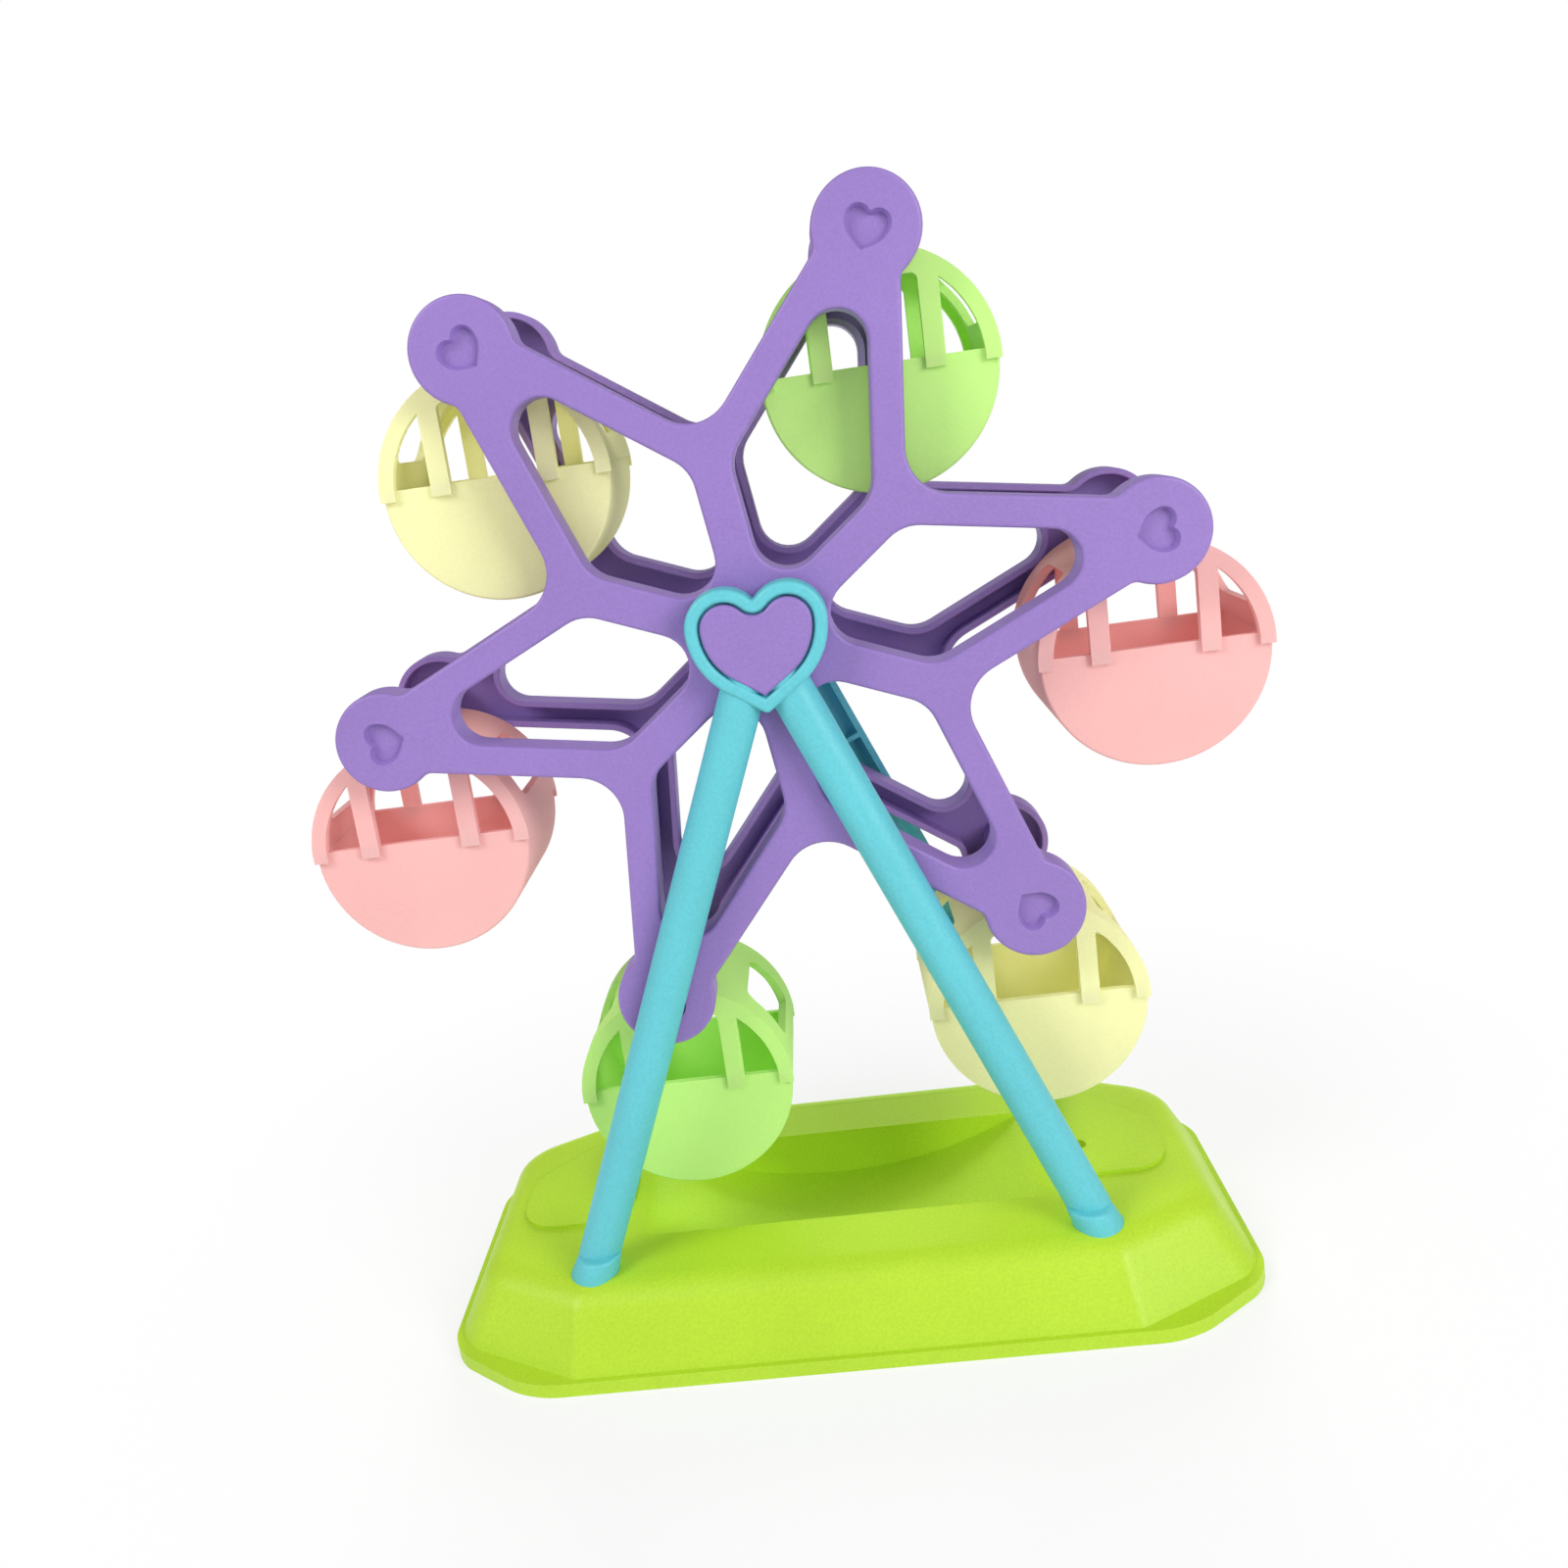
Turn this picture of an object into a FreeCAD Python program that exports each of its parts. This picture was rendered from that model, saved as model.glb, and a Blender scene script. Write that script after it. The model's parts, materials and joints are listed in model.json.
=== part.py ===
"""Crank ferris wheel toy, as a parametric FreeCAD document.

The origin is the middle of the face the toy stands on. +Z is up, +X is to the right and -Y is the front.
The wheel turns about an axle along Y. Lengths are in millimetres and angles in degrees.
"""
import FreeCAD
import Part
import Sketcher
import math
import os

from FreeCAD import Placement, Rotation, Vector

os.makedirs("parts", exist_ok=True)

# Driving dimensions: alias, value, what it is.
SIZES = [
    # base
    ("base_length", 199.3, "length of the lip along X"),
    ("base_width", 101.8, "width of the lip along Y"),
    ("lip_corner_x", 22.5, "lip corner cut, along X"),
    ("lip_corner_y", 16.5, "lip corner cut, along Y"),
    ("lip_height", 3.5, "height of the lip"),
    ("lip_ledge", 1.3, "ledge of the lip round the sloped walls"),
    ("base_height", 20.3, "height of the flat top"),
    ("base_slope", 9.1, "how far the walls lean in"),
    ("base_corner", 32.0, "corner cut of the sloped walls, at the ledge"),
    ("base_round", 8.0, "rounding of the top edge"),
    ("base_edge_round", 6.0, "rounding of the edges between the sloped walls"),
    ("base_wall", 2.0, "wall of the base"),
    ("trough_length", 102.0, "length of the trough at the top face"),
    ("trough_width", 40.6, "width of the trough"),
    ("trough_depth", 12.5, "depth of the trough in its middle"),
    ("pad_centre", 69.0, "distance of each raised pad from the middle"),
    ("pad_length", 29.0, "length of a pad"),
    ("pad_width", 27.0, "width of a pad"),
    ("pad_height", 0.8, "height of a pad above the top face"),
    ("peg_hole_place", 62.5, "distance of each peg socket from the middle"),
    ("peg_hole_radius", 2.2, "radius of a peg socket"),
    ("peg_hole_depth", 5.0, "depth of a peg socket"),
    ("rib_lift", 1.5, "gap between the base's ribs and the ground"),
    ("base_rib_pitch", 44.0, "distance between the base's cross ribs"),
    # feet and legs of the two frames
    ("foot_spread", 60.7, "distance of each foot from the middle"),
    ("foot_radius", 6.0, "radius of a foot"),
    ("foot_rise", 4.6, "height of a foot above the top face"),
    ("foot_depth", 8.0, "how deep a foot sits in its socket"),
    ("foot_round", 1.6, "rounding of a foot's shoulder"),
    ("socket_clearance", 0.05, "gap round a foot in its socket"),
    ("leg_width", 10.0, "width of a leg"),
    ("leg_depth", 5.8, "depth of a leg, back to crown"),
    ("leg_wall", 1.6, "wall of a leg"),
    ("leg_start", 2.2, "start of a leg below the foot's shoulder"),
    ("leg_aim", 2.2, "height above the axle where the legs' centre lines meet"),
    ("leg_end", 9.0, "end of a leg before the axle's centre"),
    ("leg_rib", 1.2, "thickness of a leg's cross rib"),
    ("leg_rib_pitch", 20.0, "distance between a leg's cross ribs"),
    ("frame_gap", 1.2, "running gap between a star and a frame"),
    # heart-shaped hub of a frame
    ("heart_half_width", 15.45, "half the width of the heart ring"),
    ("heart_top", 13.1, "top of the heart above the axle"),
    ("heart_tip", 15.1, "point of the heart below the axle"),
    ("heart_lobe", 8.6, "radius of the heart's lobes"),
    ("heart_side", 17.0, "radius of the heart's sides"),
    ("heart_notch_round", 0.5, "rounding of the heart's notch"),
    ("heart_point_round", 1.2, "rounding of the heart's point"),
    ("heart_depth", 6.3, "depth of the heart, back to crown"),
    ("heart_ring", 2.85, "width of the ring round the cap"),
    ("heart_ring_round", 1.1, "rounding of the ring"),
    ("recess_depth", 2.2, "depth of the recess for the cap"),
    ("cap_gap", 0.5, "gap round the cap in its recess"),
    ("cap_height", 2.1, "height of the heart cap"),
    ("cap_round", 0.8, "rounding of the heart cap"),
    # wheel
    ("hub_height", 168.1, "height of the axle"),
    ("pivot_radius", 88.0, "distance from the axle to each hanger pin"),
    ("tip_turn", 22.2, "turn of the first arm from upright"),
    ("star_gap", 40.0, "gap between the two stars"),
    ("star_depth", 8.5, "depth of a star"),
    ("star_face", 2.0, "thickness of a star's face"),
    ("star_wall", 1.6, "wall of a star's channels"),
    ("star_bevel", 1.0, "bevel round a star's face"),
    ("tip_radius", 11.5, "radius of an arm's tip"),
    ("arm_edge", 6.8, "distance from the pin to the arm's edge line"),
    ("neck_round", 3.0, "inner rounding where arm and tip meet"),
    ("valley_reach", 48.4, "distance from the axle to the notch between arms"),
    ("valley_round", 10.0, "inner rounding of the notch between arms"),
    ("bar_width", 7.0, "width of an arm's bar"),
    ("spoke_width", 8.9, "width of a spoke"),
    ("window_tip_round", 6.7, "rounding of a window at the tip end"),
    ("window_side_round", 9.0, "rounding of a window at its sides"),
    ("window_hub_round", 7.5, "rounding of a window at the hub end"),
    ("hub_boss_radius", 8.0, "radius of a star's hub boss"),
    ("tip_boss_radius", 4.6, "radius of the boss round a pin socket"),
    ("tip_heart_scale", 0.36, "tip heart as a share of the hub heart"),
    ("tip_heart_depth", 1.8, "depth of a tip heart"),
    ("tip_heart_floor", 1.4, "floor under a tip heart"),
    # axle, spacer and pins
    ("axle_radius", 3.0, "radius of the axle"),
    ("axle_flat", 2.3, "distance of the axle's flat from its centre"),
    ("bearing_clearance", 0.06, "gap round the axle in a bearing"),
    ("fit_clearance", 0.03, "gap round the axle in what it drives"),
    ("axle_end_gap", 0.5, "end play of the axle under the heart cap"),
    ("spacer_wall", 2.0, "wall of the hub spacer"),
    ("pin_radius", 2.0, "radius of a hanger pin"),
    ("pin_depth", 4.4, "how deep a pin sits in a tip"),
    ("pin_clearance", 0.03, "gap round a pin in its sockets"),
    # gondolas
    ("gondola_drop", 28.6, "distance from a pin to the gondola's centre"),
    ("rim_rise", 1.8, "height of a tub's rim above the gondola's centre"),
    ("tub_radius", 25.8, "outer radius of a tub"),
    ("tub_depth", 35.4, "depth of a tub along Y"),
    ("tub_wall", 1.6, "wall of a tub"),
    ("tub_round", 0.6, "rounding round a tub's faces"),
    ("cage_radius", 26.3, "outer radius of a cage"),
    ("cage_skin", 1.2, "how far a cage stands proud of the tub"),
    ("cage_face", 2.2, "thickness of a cage's face"),
    ("cage_band", 3.4, "width of a cage's arch"),
    ("cage_shell", 1.8, "thickness of a cage's roof"),
    ("post_place", 12.2, "distance of a post from the middle"),
    ("post_width", 4.4, "width of a post"),
    ("window_crown", 19.3, "top of a cage's middle window above the gondola's centre"),
    ("arch_depth", 7.5, "depth of an arch along Y"),
    ("skirt_height", 6.0, "height of a cage's side skirt above the rim"),
    ("roof_drop", 6.4, "depth of the roof below the cage's top"),
    ("foot_tab", 2.4, "how far a cage's feet reach over the tub"),
    ("sleeve_radius", 4.0, "radius of the hanger sleeve"),
    ("sleeve_clearance", 0.08, "gap round the pin in its sleeve"),
    # crank
    ("crank_length", 26.0, "distance from the axle to the knob"),
    ("crank_gap", 1.5, "gap between the crank's arm and the frame"),
    ("crank_thickness", 5.0, "thickness of the crank's arm"),
    ("crank_hub_radius", 7.5, "radius of the crank's hub"),
    ("crank_end_radius", 5.5, "radius of the crank's knob end"),
    ("crank_round", 1.0, "rounding of the crank's arm"),
    ("crank_boss_radius", 5.5, "radius of the crank's inner boss"),
    ("crank_seat_gap", 0.3, "gap between the crank's boss and the frame"),
    ("axle_grip", 6.0, "how deep the axle sits in the crank"),
    ("screw_radius", 1.2, "radius of the crank screw"),
    ("screw_length", 8.0, "length of the crank screw under its head"),
    ("screw_head_radius", 2.6, "radius of the crank screw's head"),
    ("screw_head_height", 1.6, "height of the crank screw's head"),
    ("screw_clearance", 0.05, "gap round the crank screw"),
    ("screw_seat_gap", 0.2, "gap round the screw's head"),
    ("knob_radius", 6.0, "radius of the knob"),
    ("knob_length", 20.0, "length of the knob"),
    ("knob_waist", 4.6, "radius of the knob's waist"),
    ("knob_gap", 0.4, "gap between the knob and the arm"),
    ("knob_clearance", 0.08, "gap round the pin in the knob"),
    ("knob_pin_radius", 1.8, "radius of the knob pin"),
    ("knob_pin_head", 3.4, "radius of the knob pin's head"),
    ("knob_pin_head_height", 1.6, "height of the knob pin's head"),
    ("knob_recess", 2.6, "depth of the recess for the knob pin's head"),
    ("knob_pin_grip", 3.8, "how deep the knob pin sits in the arm"),
]

TIP_COUNT = 6
CLEAR = 0.3
NORMAL_OF = {"XY_Plane": Vector(0, 0, 1), "XZ_Plane": Vector(0, -1, 0), "YZ_Plane": Vector(1, 0, 0)}

doc = FreeCAD.newDocument("ferris_wheel_toy")
sheet = doc.addObject("Spreadsheet::Sheet", "sizes")
for row, (alias, value, note) in enumerate(SIZES, start=1):
    sheet.set(f"A{row}", alias)
    sheet.set(f"B{row}", str(value))
    sheet.set(f"C{row}", note)
    sheet.setAlias(f"B{row}", alias)
doc.recompute()


class Sizes:
    """The sheet's values by name, for outlines that are worked out in code."""

    def __getattr__(self, alias):
        return float(sheet.get(alias))


size = Sizes()


def cells(formula):
    """A formula in which every word that is an alias points at the sheet."""
    words = sorted((alias for alias, value, note in SIZES), key=len, reverse=True)
    out = ""
    at = 0
    while at < len(formula):
        hit = next((word for word in words if formula.startswith(word, at)), None)
        out += f"sizes.{hit}" if hit else formula[at]
        at += len(hit) if hit else 1
    return out


# ---------------------------------------------------------------- outlines


class Outline:
    """A closed loop of lines and arcs in a sketch's own plane."""

    def __init__(self, start):
        self.first = Vector(*start, 0)
        self.last = self.first
        self.edges = []

    def line(self, end):
        """A straight edge from the last point to end."""
        end = Vector(*end, 0)
        if (end - self.last).Length > 1e-6:
            self.edges.append(Part.LineSegment(self.last, end))
            self.last = end
        return self

    def arc(self, centre, end, towards):
        """An arc about centre to end, which passes the side that towards points to."""
        centre, end, towards = Vector(*centre, 0), Vector(*end, 0), Vector(*towards, 0)
        middle = centre + towards.normalize() * (self.last - centre).Length
        self.edges.append(Part.Arc(self.last, middle, end))
        self.last = end
        return self

    def close(self):
        """The edges, with a last straight one back to the start if it is open."""
        return self.line((self.first.x, self.first.y)).edges


def turned(point, degrees):
    """A point or direction turned clockwise about the outline's origin."""
    angle = math.radians(degrees)
    x, y = point
    return (x * math.cos(angle) + y * math.sin(angle), -x * math.sin(angle) + y * math.cos(angle))


def step(point, direction, distance):
    """The point at a distance from another along a unit direction."""
    return (point[0] + direction[0] * distance, point[1] + direction[1] * distance)


def flipped(point):
    """The mirror image of a point across the outline's upright axis."""
    return (-point[0], point[1])


def rectangle(low, high):
    """A rectangle between two corners."""
    return Outline(low).line((high[0], low[1])).line(high).line((low[0], high[1])).close()


def rounded_rectangle(low, high, radius):
    """A rectangle between two corners, with round corners."""
    loop = Outline((low[0] + radius, low[1]))
    corners = [
        ((high[0], low[1]), (-1, 1)),
        (high, (-1, -1)),
        ((low[0], high[1]), (1, -1)),
        (low, (1, 1)),
    ]
    for count, (corner, inward) in enumerate(corners):
        centre = (corner[0] + inward[0] * radius, corner[1] + inward[1] * radius)
        along_x = (corner[0], centre[1])
        along_y = (centre[0], corner[1])
        begin, end = (along_y, along_x) if count % 2 == 0 else (along_x, along_y)
        loop.line(begin).arc(centre, end, (-inward[0], -inward[1]))
    return loop.close()


def eight_sided(half_x, half_y, cut_x, cut_y):
    """A rectangle with its four corners cut off."""
    loop = Outline((half_x - cut_x, -half_y))
    loop.line((half_x, -half_y + cut_y)).line((half_x, half_y - cut_y)).line((half_x - cut_x, half_y))
    loop.line((-half_x + cut_x, half_y)).line((-half_x, half_y - cut_y)).line((-half_x, -half_y + cut_y))
    return loop.line((-half_x + cut_x, -half_y)).close()


def heart(inset=0.0, scale=1.0):
    """A heart about the axle: a round lobe, a flatter side and a straight run to the point, on each side."""
    lobe = size.heart_lobe * scale - inset
    side = size.heart_side * scale - inset
    lobe_centre = ((size.heart_half_width - size.heart_lobe) * scale, (size.heart_top - size.heart_lobe) * scale)
    side_centre = ((size.heart_half_width - size.heart_side) * scale, lobe_centre[1])
    widest = (lobe_centre[0] + lobe, lobe_centre[1])
    # The notch is an arc between the lobes, or a sharp corner once the heart is grown past that arc's centre.
    notch_round = size.heart_notch_round * scale
    rise = math.sqrt((size.heart_lobe * scale + notch_round) ** 2 - lobe_centre[0] ** 2)
    notch_centre = (0, lobe_centre[1] + rise)
    towards_notch = (-lobe_centre[0] / (lobe + notch_round + inset), rise / (lobe + notch_round + inset))
    lobe_start = step(lobe_centre, towards_notch, lobe)
    if notch_round + inset <= 0:
        lobe_start = (0, lobe_centre[1] + math.sqrt(lobe**2 - lobe_centre[0] ** 2))

    # The straight run is tangent to the side's arc and would meet its mirror image at the sharp point.
    drop = lobe_centre[1] + size.heart_tip * scale
    reach = math.hypot(side_centre[0], drop)
    lean = math.asin(size.heart_side * scale / reach) + math.atan2(side_centre[0], drop)
    across = (math.cos(lean), -math.sin(lean))
    run_start = step(side_centre, across, side)
    point_round = max(size.heart_point_round * scale - inset, 0.2)
    sharp = -size.heart_tip * scale + inset / math.sin(lean)
    point_centre = (0, sharp + point_round / math.sin(lean))
    run_end = step(point_centre, across, point_round)

    loop = Outline(flipped(lobe_start))
    if notch_round + inset > 0:
        loop.arc(notch_centre, lobe_start, (0, -1))
    loop.arc(lobe_centre, widest, (math.sin(0.6), math.cos(0.6)))
    loop.arc(side_centre, run_start, (math.cos(lean / 2), -math.sin(lean / 2)))
    loop.line(run_end)
    loop.arc(point_centre, flipped(run_end), (0, -1))
    loop.line(flipped(run_start))
    loop.arc(flipped(side_centre), flipped(widest), (-math.cos(lean / 2), -math.sin(lean / 2)))
    loop.arc(flipped(lobe_centre), flipped(lobe_start), (-math.sin(0.6), math.cos(0.6)))
    return loop.edges


def arm_lines():
    """The lean of an arm's edge from the arm's axis, with the edge's normal and run as unit directions.

    The edge line touches a circle of radius arm_edge about the pin on its inner side, and the round of the
    notch between two arms on its outer side.
    """
    half_step = math.radians(180 / TIP_COUNT)
    notch_centre_radius = size.valley_reach + size.valley_round
    notch_centre = (notch_centre_radius * math.sin(half_step), notch_centre_radius * math.cos(half_step))
    fall = size.pivot_radius - notch_centre[1]
    distance = math.hypot(notch_centre[0], fall)
    lean = math.atan2(notch_centre[0], fall) - math.asin((size.arm_edge + size.valley_round) / distance)
    normal = (math.cos(lean), math.sin(lean))
    run = (math.sin(lean), -math.cos(lean))
    return lean, normal, run, notch_centre


def star_outline(inset=0.0):
    """The star's outer edge: round tips, necks, straight bars and round notches."""
    lean, normal, run, notch_centre = arm_lines()
    pin = (0, size.pivot_radius)
    tip = size.tip_radius - inset
    neck = size.neck_round + inset
    notch = size.valley_round + inset
    sideways = size.arm_edge + size.neck_round
    along = math.sqrt((size.tip_radius + size.neck_round) ** 2 - sideways**2)
    neck_centre = step(step(pin, normal, sideways), run, along)
    neck_low = step(neck_centre, normal, -neck)
    towards_neck = ((neck_centre[0] - pin[0]) / (tip + neck), (neck_centre[1] - pin[1]) / (tip + neck))
    neck_high = step(pin, towards_neck, tip)
    bar_end = step(notch_centre, normal, -notch)
    neck_side = (-(normal[0] + towards_neck[0]), -(normal[1] + towards_neck[1]))
    notch_side = (-math.sin(math.pi / TIP_COUNT), -math.cos(math.pi / TIP_COUNT))

    loop = Outline(flipped(bar_end))
    for count in range(TIP_COUNT):
        angle = 360 / TIP_COUNT * count
        next_angle = 360 / TIP_COUNT * (count + 1)
        loop.line(turned(flipped(neck_low), angle))
        loop.arc(
            turned(flipped(neck_centre), angle),
            turned(flipped(neck_high), angle),
            turned(flipped(neck_side), angle),
        )
        loop.arc(turned(pin, angle), turned(neck_high, angle), turned((0, 1), angle))
        loop.arc(turned(neck_centre, angle), turned(neck_low, angle), turned(neck_side, angle))
        loop.line(turned(bar_end, angle))
        loop.arc(
            turned(notch_centre, angle),
            turned(flipped(bar_end), next_angle),
            turned(notch_side, angle),
        )
    return loop.edges


def star_window(count, outset=0.0):
    """The kite-shaped window of one arm, between its two bars and two spokes."""
    lean, normal, run, notch_centre = arm_lines()
    half_step = math.radians(180 / TIP_COUNT)
    spoke_normal = (math.cos(half_step), -math.sin(half_step))
    bar = size.arm_edge - size.bar_width
    spoke = -size.spoke_width / 2
    tip_round = size.window_tip_round
    side_round = size.window_side_round
    hub_round = size.window_hub_round
    tip_centre = (0, size.pivot_radius + (bar - tip_round) / math.sin(lean))
    hub_centre = (0, (hub_round - spoke) / math.sin(half_step))
    # The side's centre is side_round inside both the bar's and the spoke's line.
    bar_offset = bar - side_round + normal[1] * size.pivot_radius
    spoke_offset = spoke - side_round
    turn = normal[0] * spoke_normal[1] - normal[1] * spoke_normal[0]
    side_centre = (
        (bar_offset * spoke_normal[1] - spoke_offset * normal[1]) / turn,
        (normal[0] * spoke_offset - spoke_normal[0] * bar_offset) / turn,
    )
    side_way = (normal[0] + spoke_normal[0], normal[1] + spoke_normal[1])
    tip_side = step(tip_centre, normal, tip_round + outset)
    side_high = step(side_centre, normal, side_round + outset)
    side_low = step(side_centre, spoke_normal, side_round + outset)
    hub_side = step(hub_centre, spoke_normal, hub_round + outset)

    angle = 360 / TIP_COUNT * count
    loop = Outline(turned(flipped(tip_side), angle))
    loop.arc(turned(tip_centre, angle), turned(tip_side, angle), turned((0, 1), angle))
    loop.line(turned(side_high, angle))
    loop.arc(turned(side_centre, angle), turned(side_low, angle), turned(side_way, angle))
    loop.line(turned(hub_side, angle))
    loop.arc(turned(hub_centre, angle), turned(flipped(hub_side), angle), turned((0, -1), angle))
    loop.line(turned(flipped(side_low), angle))
    loop.arc(
        turned(flipped(side_centre), angle),
        turned(flipped(side_high), angle),
        turned(flipped(side_way), angle),
    )
    return loop.close()


# ---------------------------------------------------------------- features


def new_body(label, x="0", y="0", z="0", turn_axis="0;1;0", turn="0"):
    """An empty body whose place follows the sheet."""
    body = doc.addObject("PartDesign::Body", label)
    body.Label = label
    where = f"placement(vector({x};{y};{z});rotation(vector({turn_axis});{turn}))"
    body.setExpression("Placement", cells(where))
    return body


def plane_of(body, role):
    """One of a body's own origin planes or axes."""
    return next(feature for feature in body.Origin.OriginFeatures if feature.Role == role)


def sketch(body, role, name, edges, lift="0", side="0", tilt="0"):
    """A sketch on one of the body's planes, lifted along the plane's normal and tilted about its own y axis."""
    drawing = body.newObject("Sketcher::SketchObject", f"{body.Name}_{name}")
    drawing.AttachmentSupport = [(plane_of(body, role), "")]
    drawing.MapMode = "FlatFace"
    where = f"placement(vector({side};0;{lift});rotation(vector(0;1;0);{tilt}))"
    drawing.setExpression("AttachmentOffset", cells(where))
    drawing.addGeometry(edges, False)
    return drawing


def value(formula):
    """A formula's value from the sheet."""
    return float(sheet.evalExpression(cells(formula)))


def rounds(body, role, name, circles, lift="0", side="0", tilt="0"):
    """A sketch of circles, each given by formulas for its radius and centre, which the sketch keeps."""
    shapes = [
        Part.Circle(Vector(value(x), value(y), 0), Vector(0, 0, 1), value(radius)) for radius, x, y in circles
    ]
    drawing = sketch(body, role, name, shapes, lift, side, tilt)
    for count, (radius, x, y) in enumerate(circles):
        hold(drawing, Sketcher.Constraint("Radius", count, value(radius)), radius)
        hold(drawing, Sketcher.Constraint("DistanceX", -1, 1, count, 3, value(x)), x)
        hold(drawing, Sketcher.Constraint("DistanceY", -1, 1, count, 3, value(y)), y)
    return drawing


def block(body, role, name, low, high, lift="0"):
    """A sketch of a rectangle between two corners, each given by formulas for x and y, which the sketch keeps."""
    corners = rectangle(tuple(value(at) for at in low), tuple(value(at) for at in high))
    drawing = sketch(body, role, name, corners, lift)
    for edge in range(4):
        drawing.addConstraint(Sketcher.Constraint("Coincident", edge, 2, (edge + 1) % 4, 1))
        drawing.addConstraint(Sketcher.Constraint("Vertical" if edge % 2 else "Horizontal", edge))
    for edge, (x, y) in ((0, low), (2, high)):
        hold(drawing, Sketcher.Constraint("DistanceX", -1, 1, edge, 1, value(x)), x)
        hold(drawing, Sketcher.Constraint("DistanceY", -1, 1, edge, 1, value(y)), y)
    return drawing


def hold(drawing, constraint, formula):
    """A sketch's dimension that follows the sheet."""
    index = drawing.addConstraint(constraint)
    drawing.setExpression(f"Constraints[{index}]", cells(formula))


def pad(body, drawing, length, midplane=False, reverse=False):
    """A pad of a sketch along its normal."""
    feature = body.newObject("PartDesign::Pad", f"{drawing.Name}_pad")
    feature.Profile = drawing
    feature.Midplane = midplane
    feature.Reversed = reverse
    feature.setExpression("Length", cells(length))
    finish(body, feature)
    return feature


def pocket(body, drawing, length, midplane=False, reverse=False):
    """A pocket of a sketch against its normal, or along it when reversed, which has to remove material."""
    before = body.Shape.Volume
    feature = body.newObject("PartDesign::Pocket", f"{drawing.Name}_pocket")
    feature.Profile = drawing
    feature.Midplane = midplane
    feature.Reversed = reverse
    feature.setExpression("Length", cells(length))
    finish(body, feature)
    if body.Shape.Volume > before - 1e-3:
        raise RuntimeError(f"{feature.Name} cut nothing")
    return feature


def polar(body, feature, role, count):
    """Copies of a feature about one of the body's axes."""
    pattern = body.newObject("PartDesign::PolarPattern", f"{feature.Name}_ring")
    pattern.Originals = [feature]
    pattern.Axis = (plane_of(body, role), [""])
    pattern.Angle = 360
    pattern.Occurrences = count
    finish(body, pattern)
    return pattern


def linear(body, feature, drawing, length, count):
    """Copies of a feature along its sketch's normal."""
    pattern = body.newObject("PartDesign::LinearPattern", f"{feature.Name}_row")
    pattern.Originals = [feature]
    pattern.Direction = (drawing, ["N_Axis"])
    pattern.setExpression("Length", cells(length))
    pattern.Occurrences = count
    finish(body, pattern)
    return pattern


def dress(body, kind, edges, amount):
    """A fillet or chamfer on the named edges of the body's last feature."""
    if not edges:
        raise RuntimeError(f"{body.Label} has no edge for its {kind.lower()}")
    base = body.Tip
    feature = body.newObject(f"PartDesign::{kind}", f"{body.Name}_{kind.lower()}_{len(body.Group)}")
    feature.Base = (base, edges)
    feature.setExpression("Radius" if kind == "Fillet" else "Size", cells(amount))
    finish(body, feature)
    return feature


def finish(body, feature):
    """Makes a feature the body's last one and computes it."""
    body.Tip = feature
    doc.recompute()
    if "Invalid" in feature.State or "Error" in feature.State:
        raise RuntimeError(f"{feature.Name} failed")


def edges_where(body, test):
    """Names of the last feature's edges whose two ends and middle, in the body's frame, pass a test."""
    found = []
    for number, edge in enumerate(body.Tip.Shape.Edges, start=1):
        ends = [edge.valueAt(at) for at in (edge.FirstParameter, edge.LastParameter)]
        middle = edge.valueAt((edge.FirstParameter + edge.LastParameter) / 2)
        if all(test(point) for point in (*ends, middle)):
            found.append(f"Edge{number}")
    return found


def at_level(axis, level):
    """A test for points that lie at one level along an axis."""
    return lambda point: abs(getattr(point, axis) - level) < 1e-4


def steep_edges(body, rise):
    """Names of the last feature's edges that climb through most of a height."""
    edges = enumerate(body.Tip.Shape.Edges, start=1)
    return [f"Edge{number}" for number, edge in edges if edge.BoundBox.ZLength > 0.9 * rise]


# ---------------------------------------------------------------- base

FRAME_BACK = "(star_gap/2+star_depth+frame_gap)"
FOOT_Y = f"({FRAME_BACK}+leg_depth/2)"


def base_sides(inset, top_share):
    """The sloped walls' outline, inset from the outside, at a share of their height."""
    lean_in = size.lip_ledge + size.base_slope * top_share + inset
    cut = size.base_corner - (size.base_slope * top_share + inset) * (2 - math.sqrt(2))
    return eight_sided(size.base_length / 2 - lean_in, size.base_width / 2 - lean_in, cut, cut)


def trough_edges(wider=0.0):
    """The trough's section: a circle segment hanging from the top face, thicker by a wall outside."""
    half = size.trough_length / 2
    radius = (half**2 + size.trough_depth**2) / (2 * size.trough_depth)
    centre = (0, size.base_height - size.trough_depth + radius)
    top = size.base_height - (size.base_wall / 2 if wider else 0)
    reach = math.sqrt((radius + wider) ** 2 - (centre[1] - top) ** 2)
    return Outline((-reach, top)).arc(centre, (reach, top), (0, -1)).close()


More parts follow.
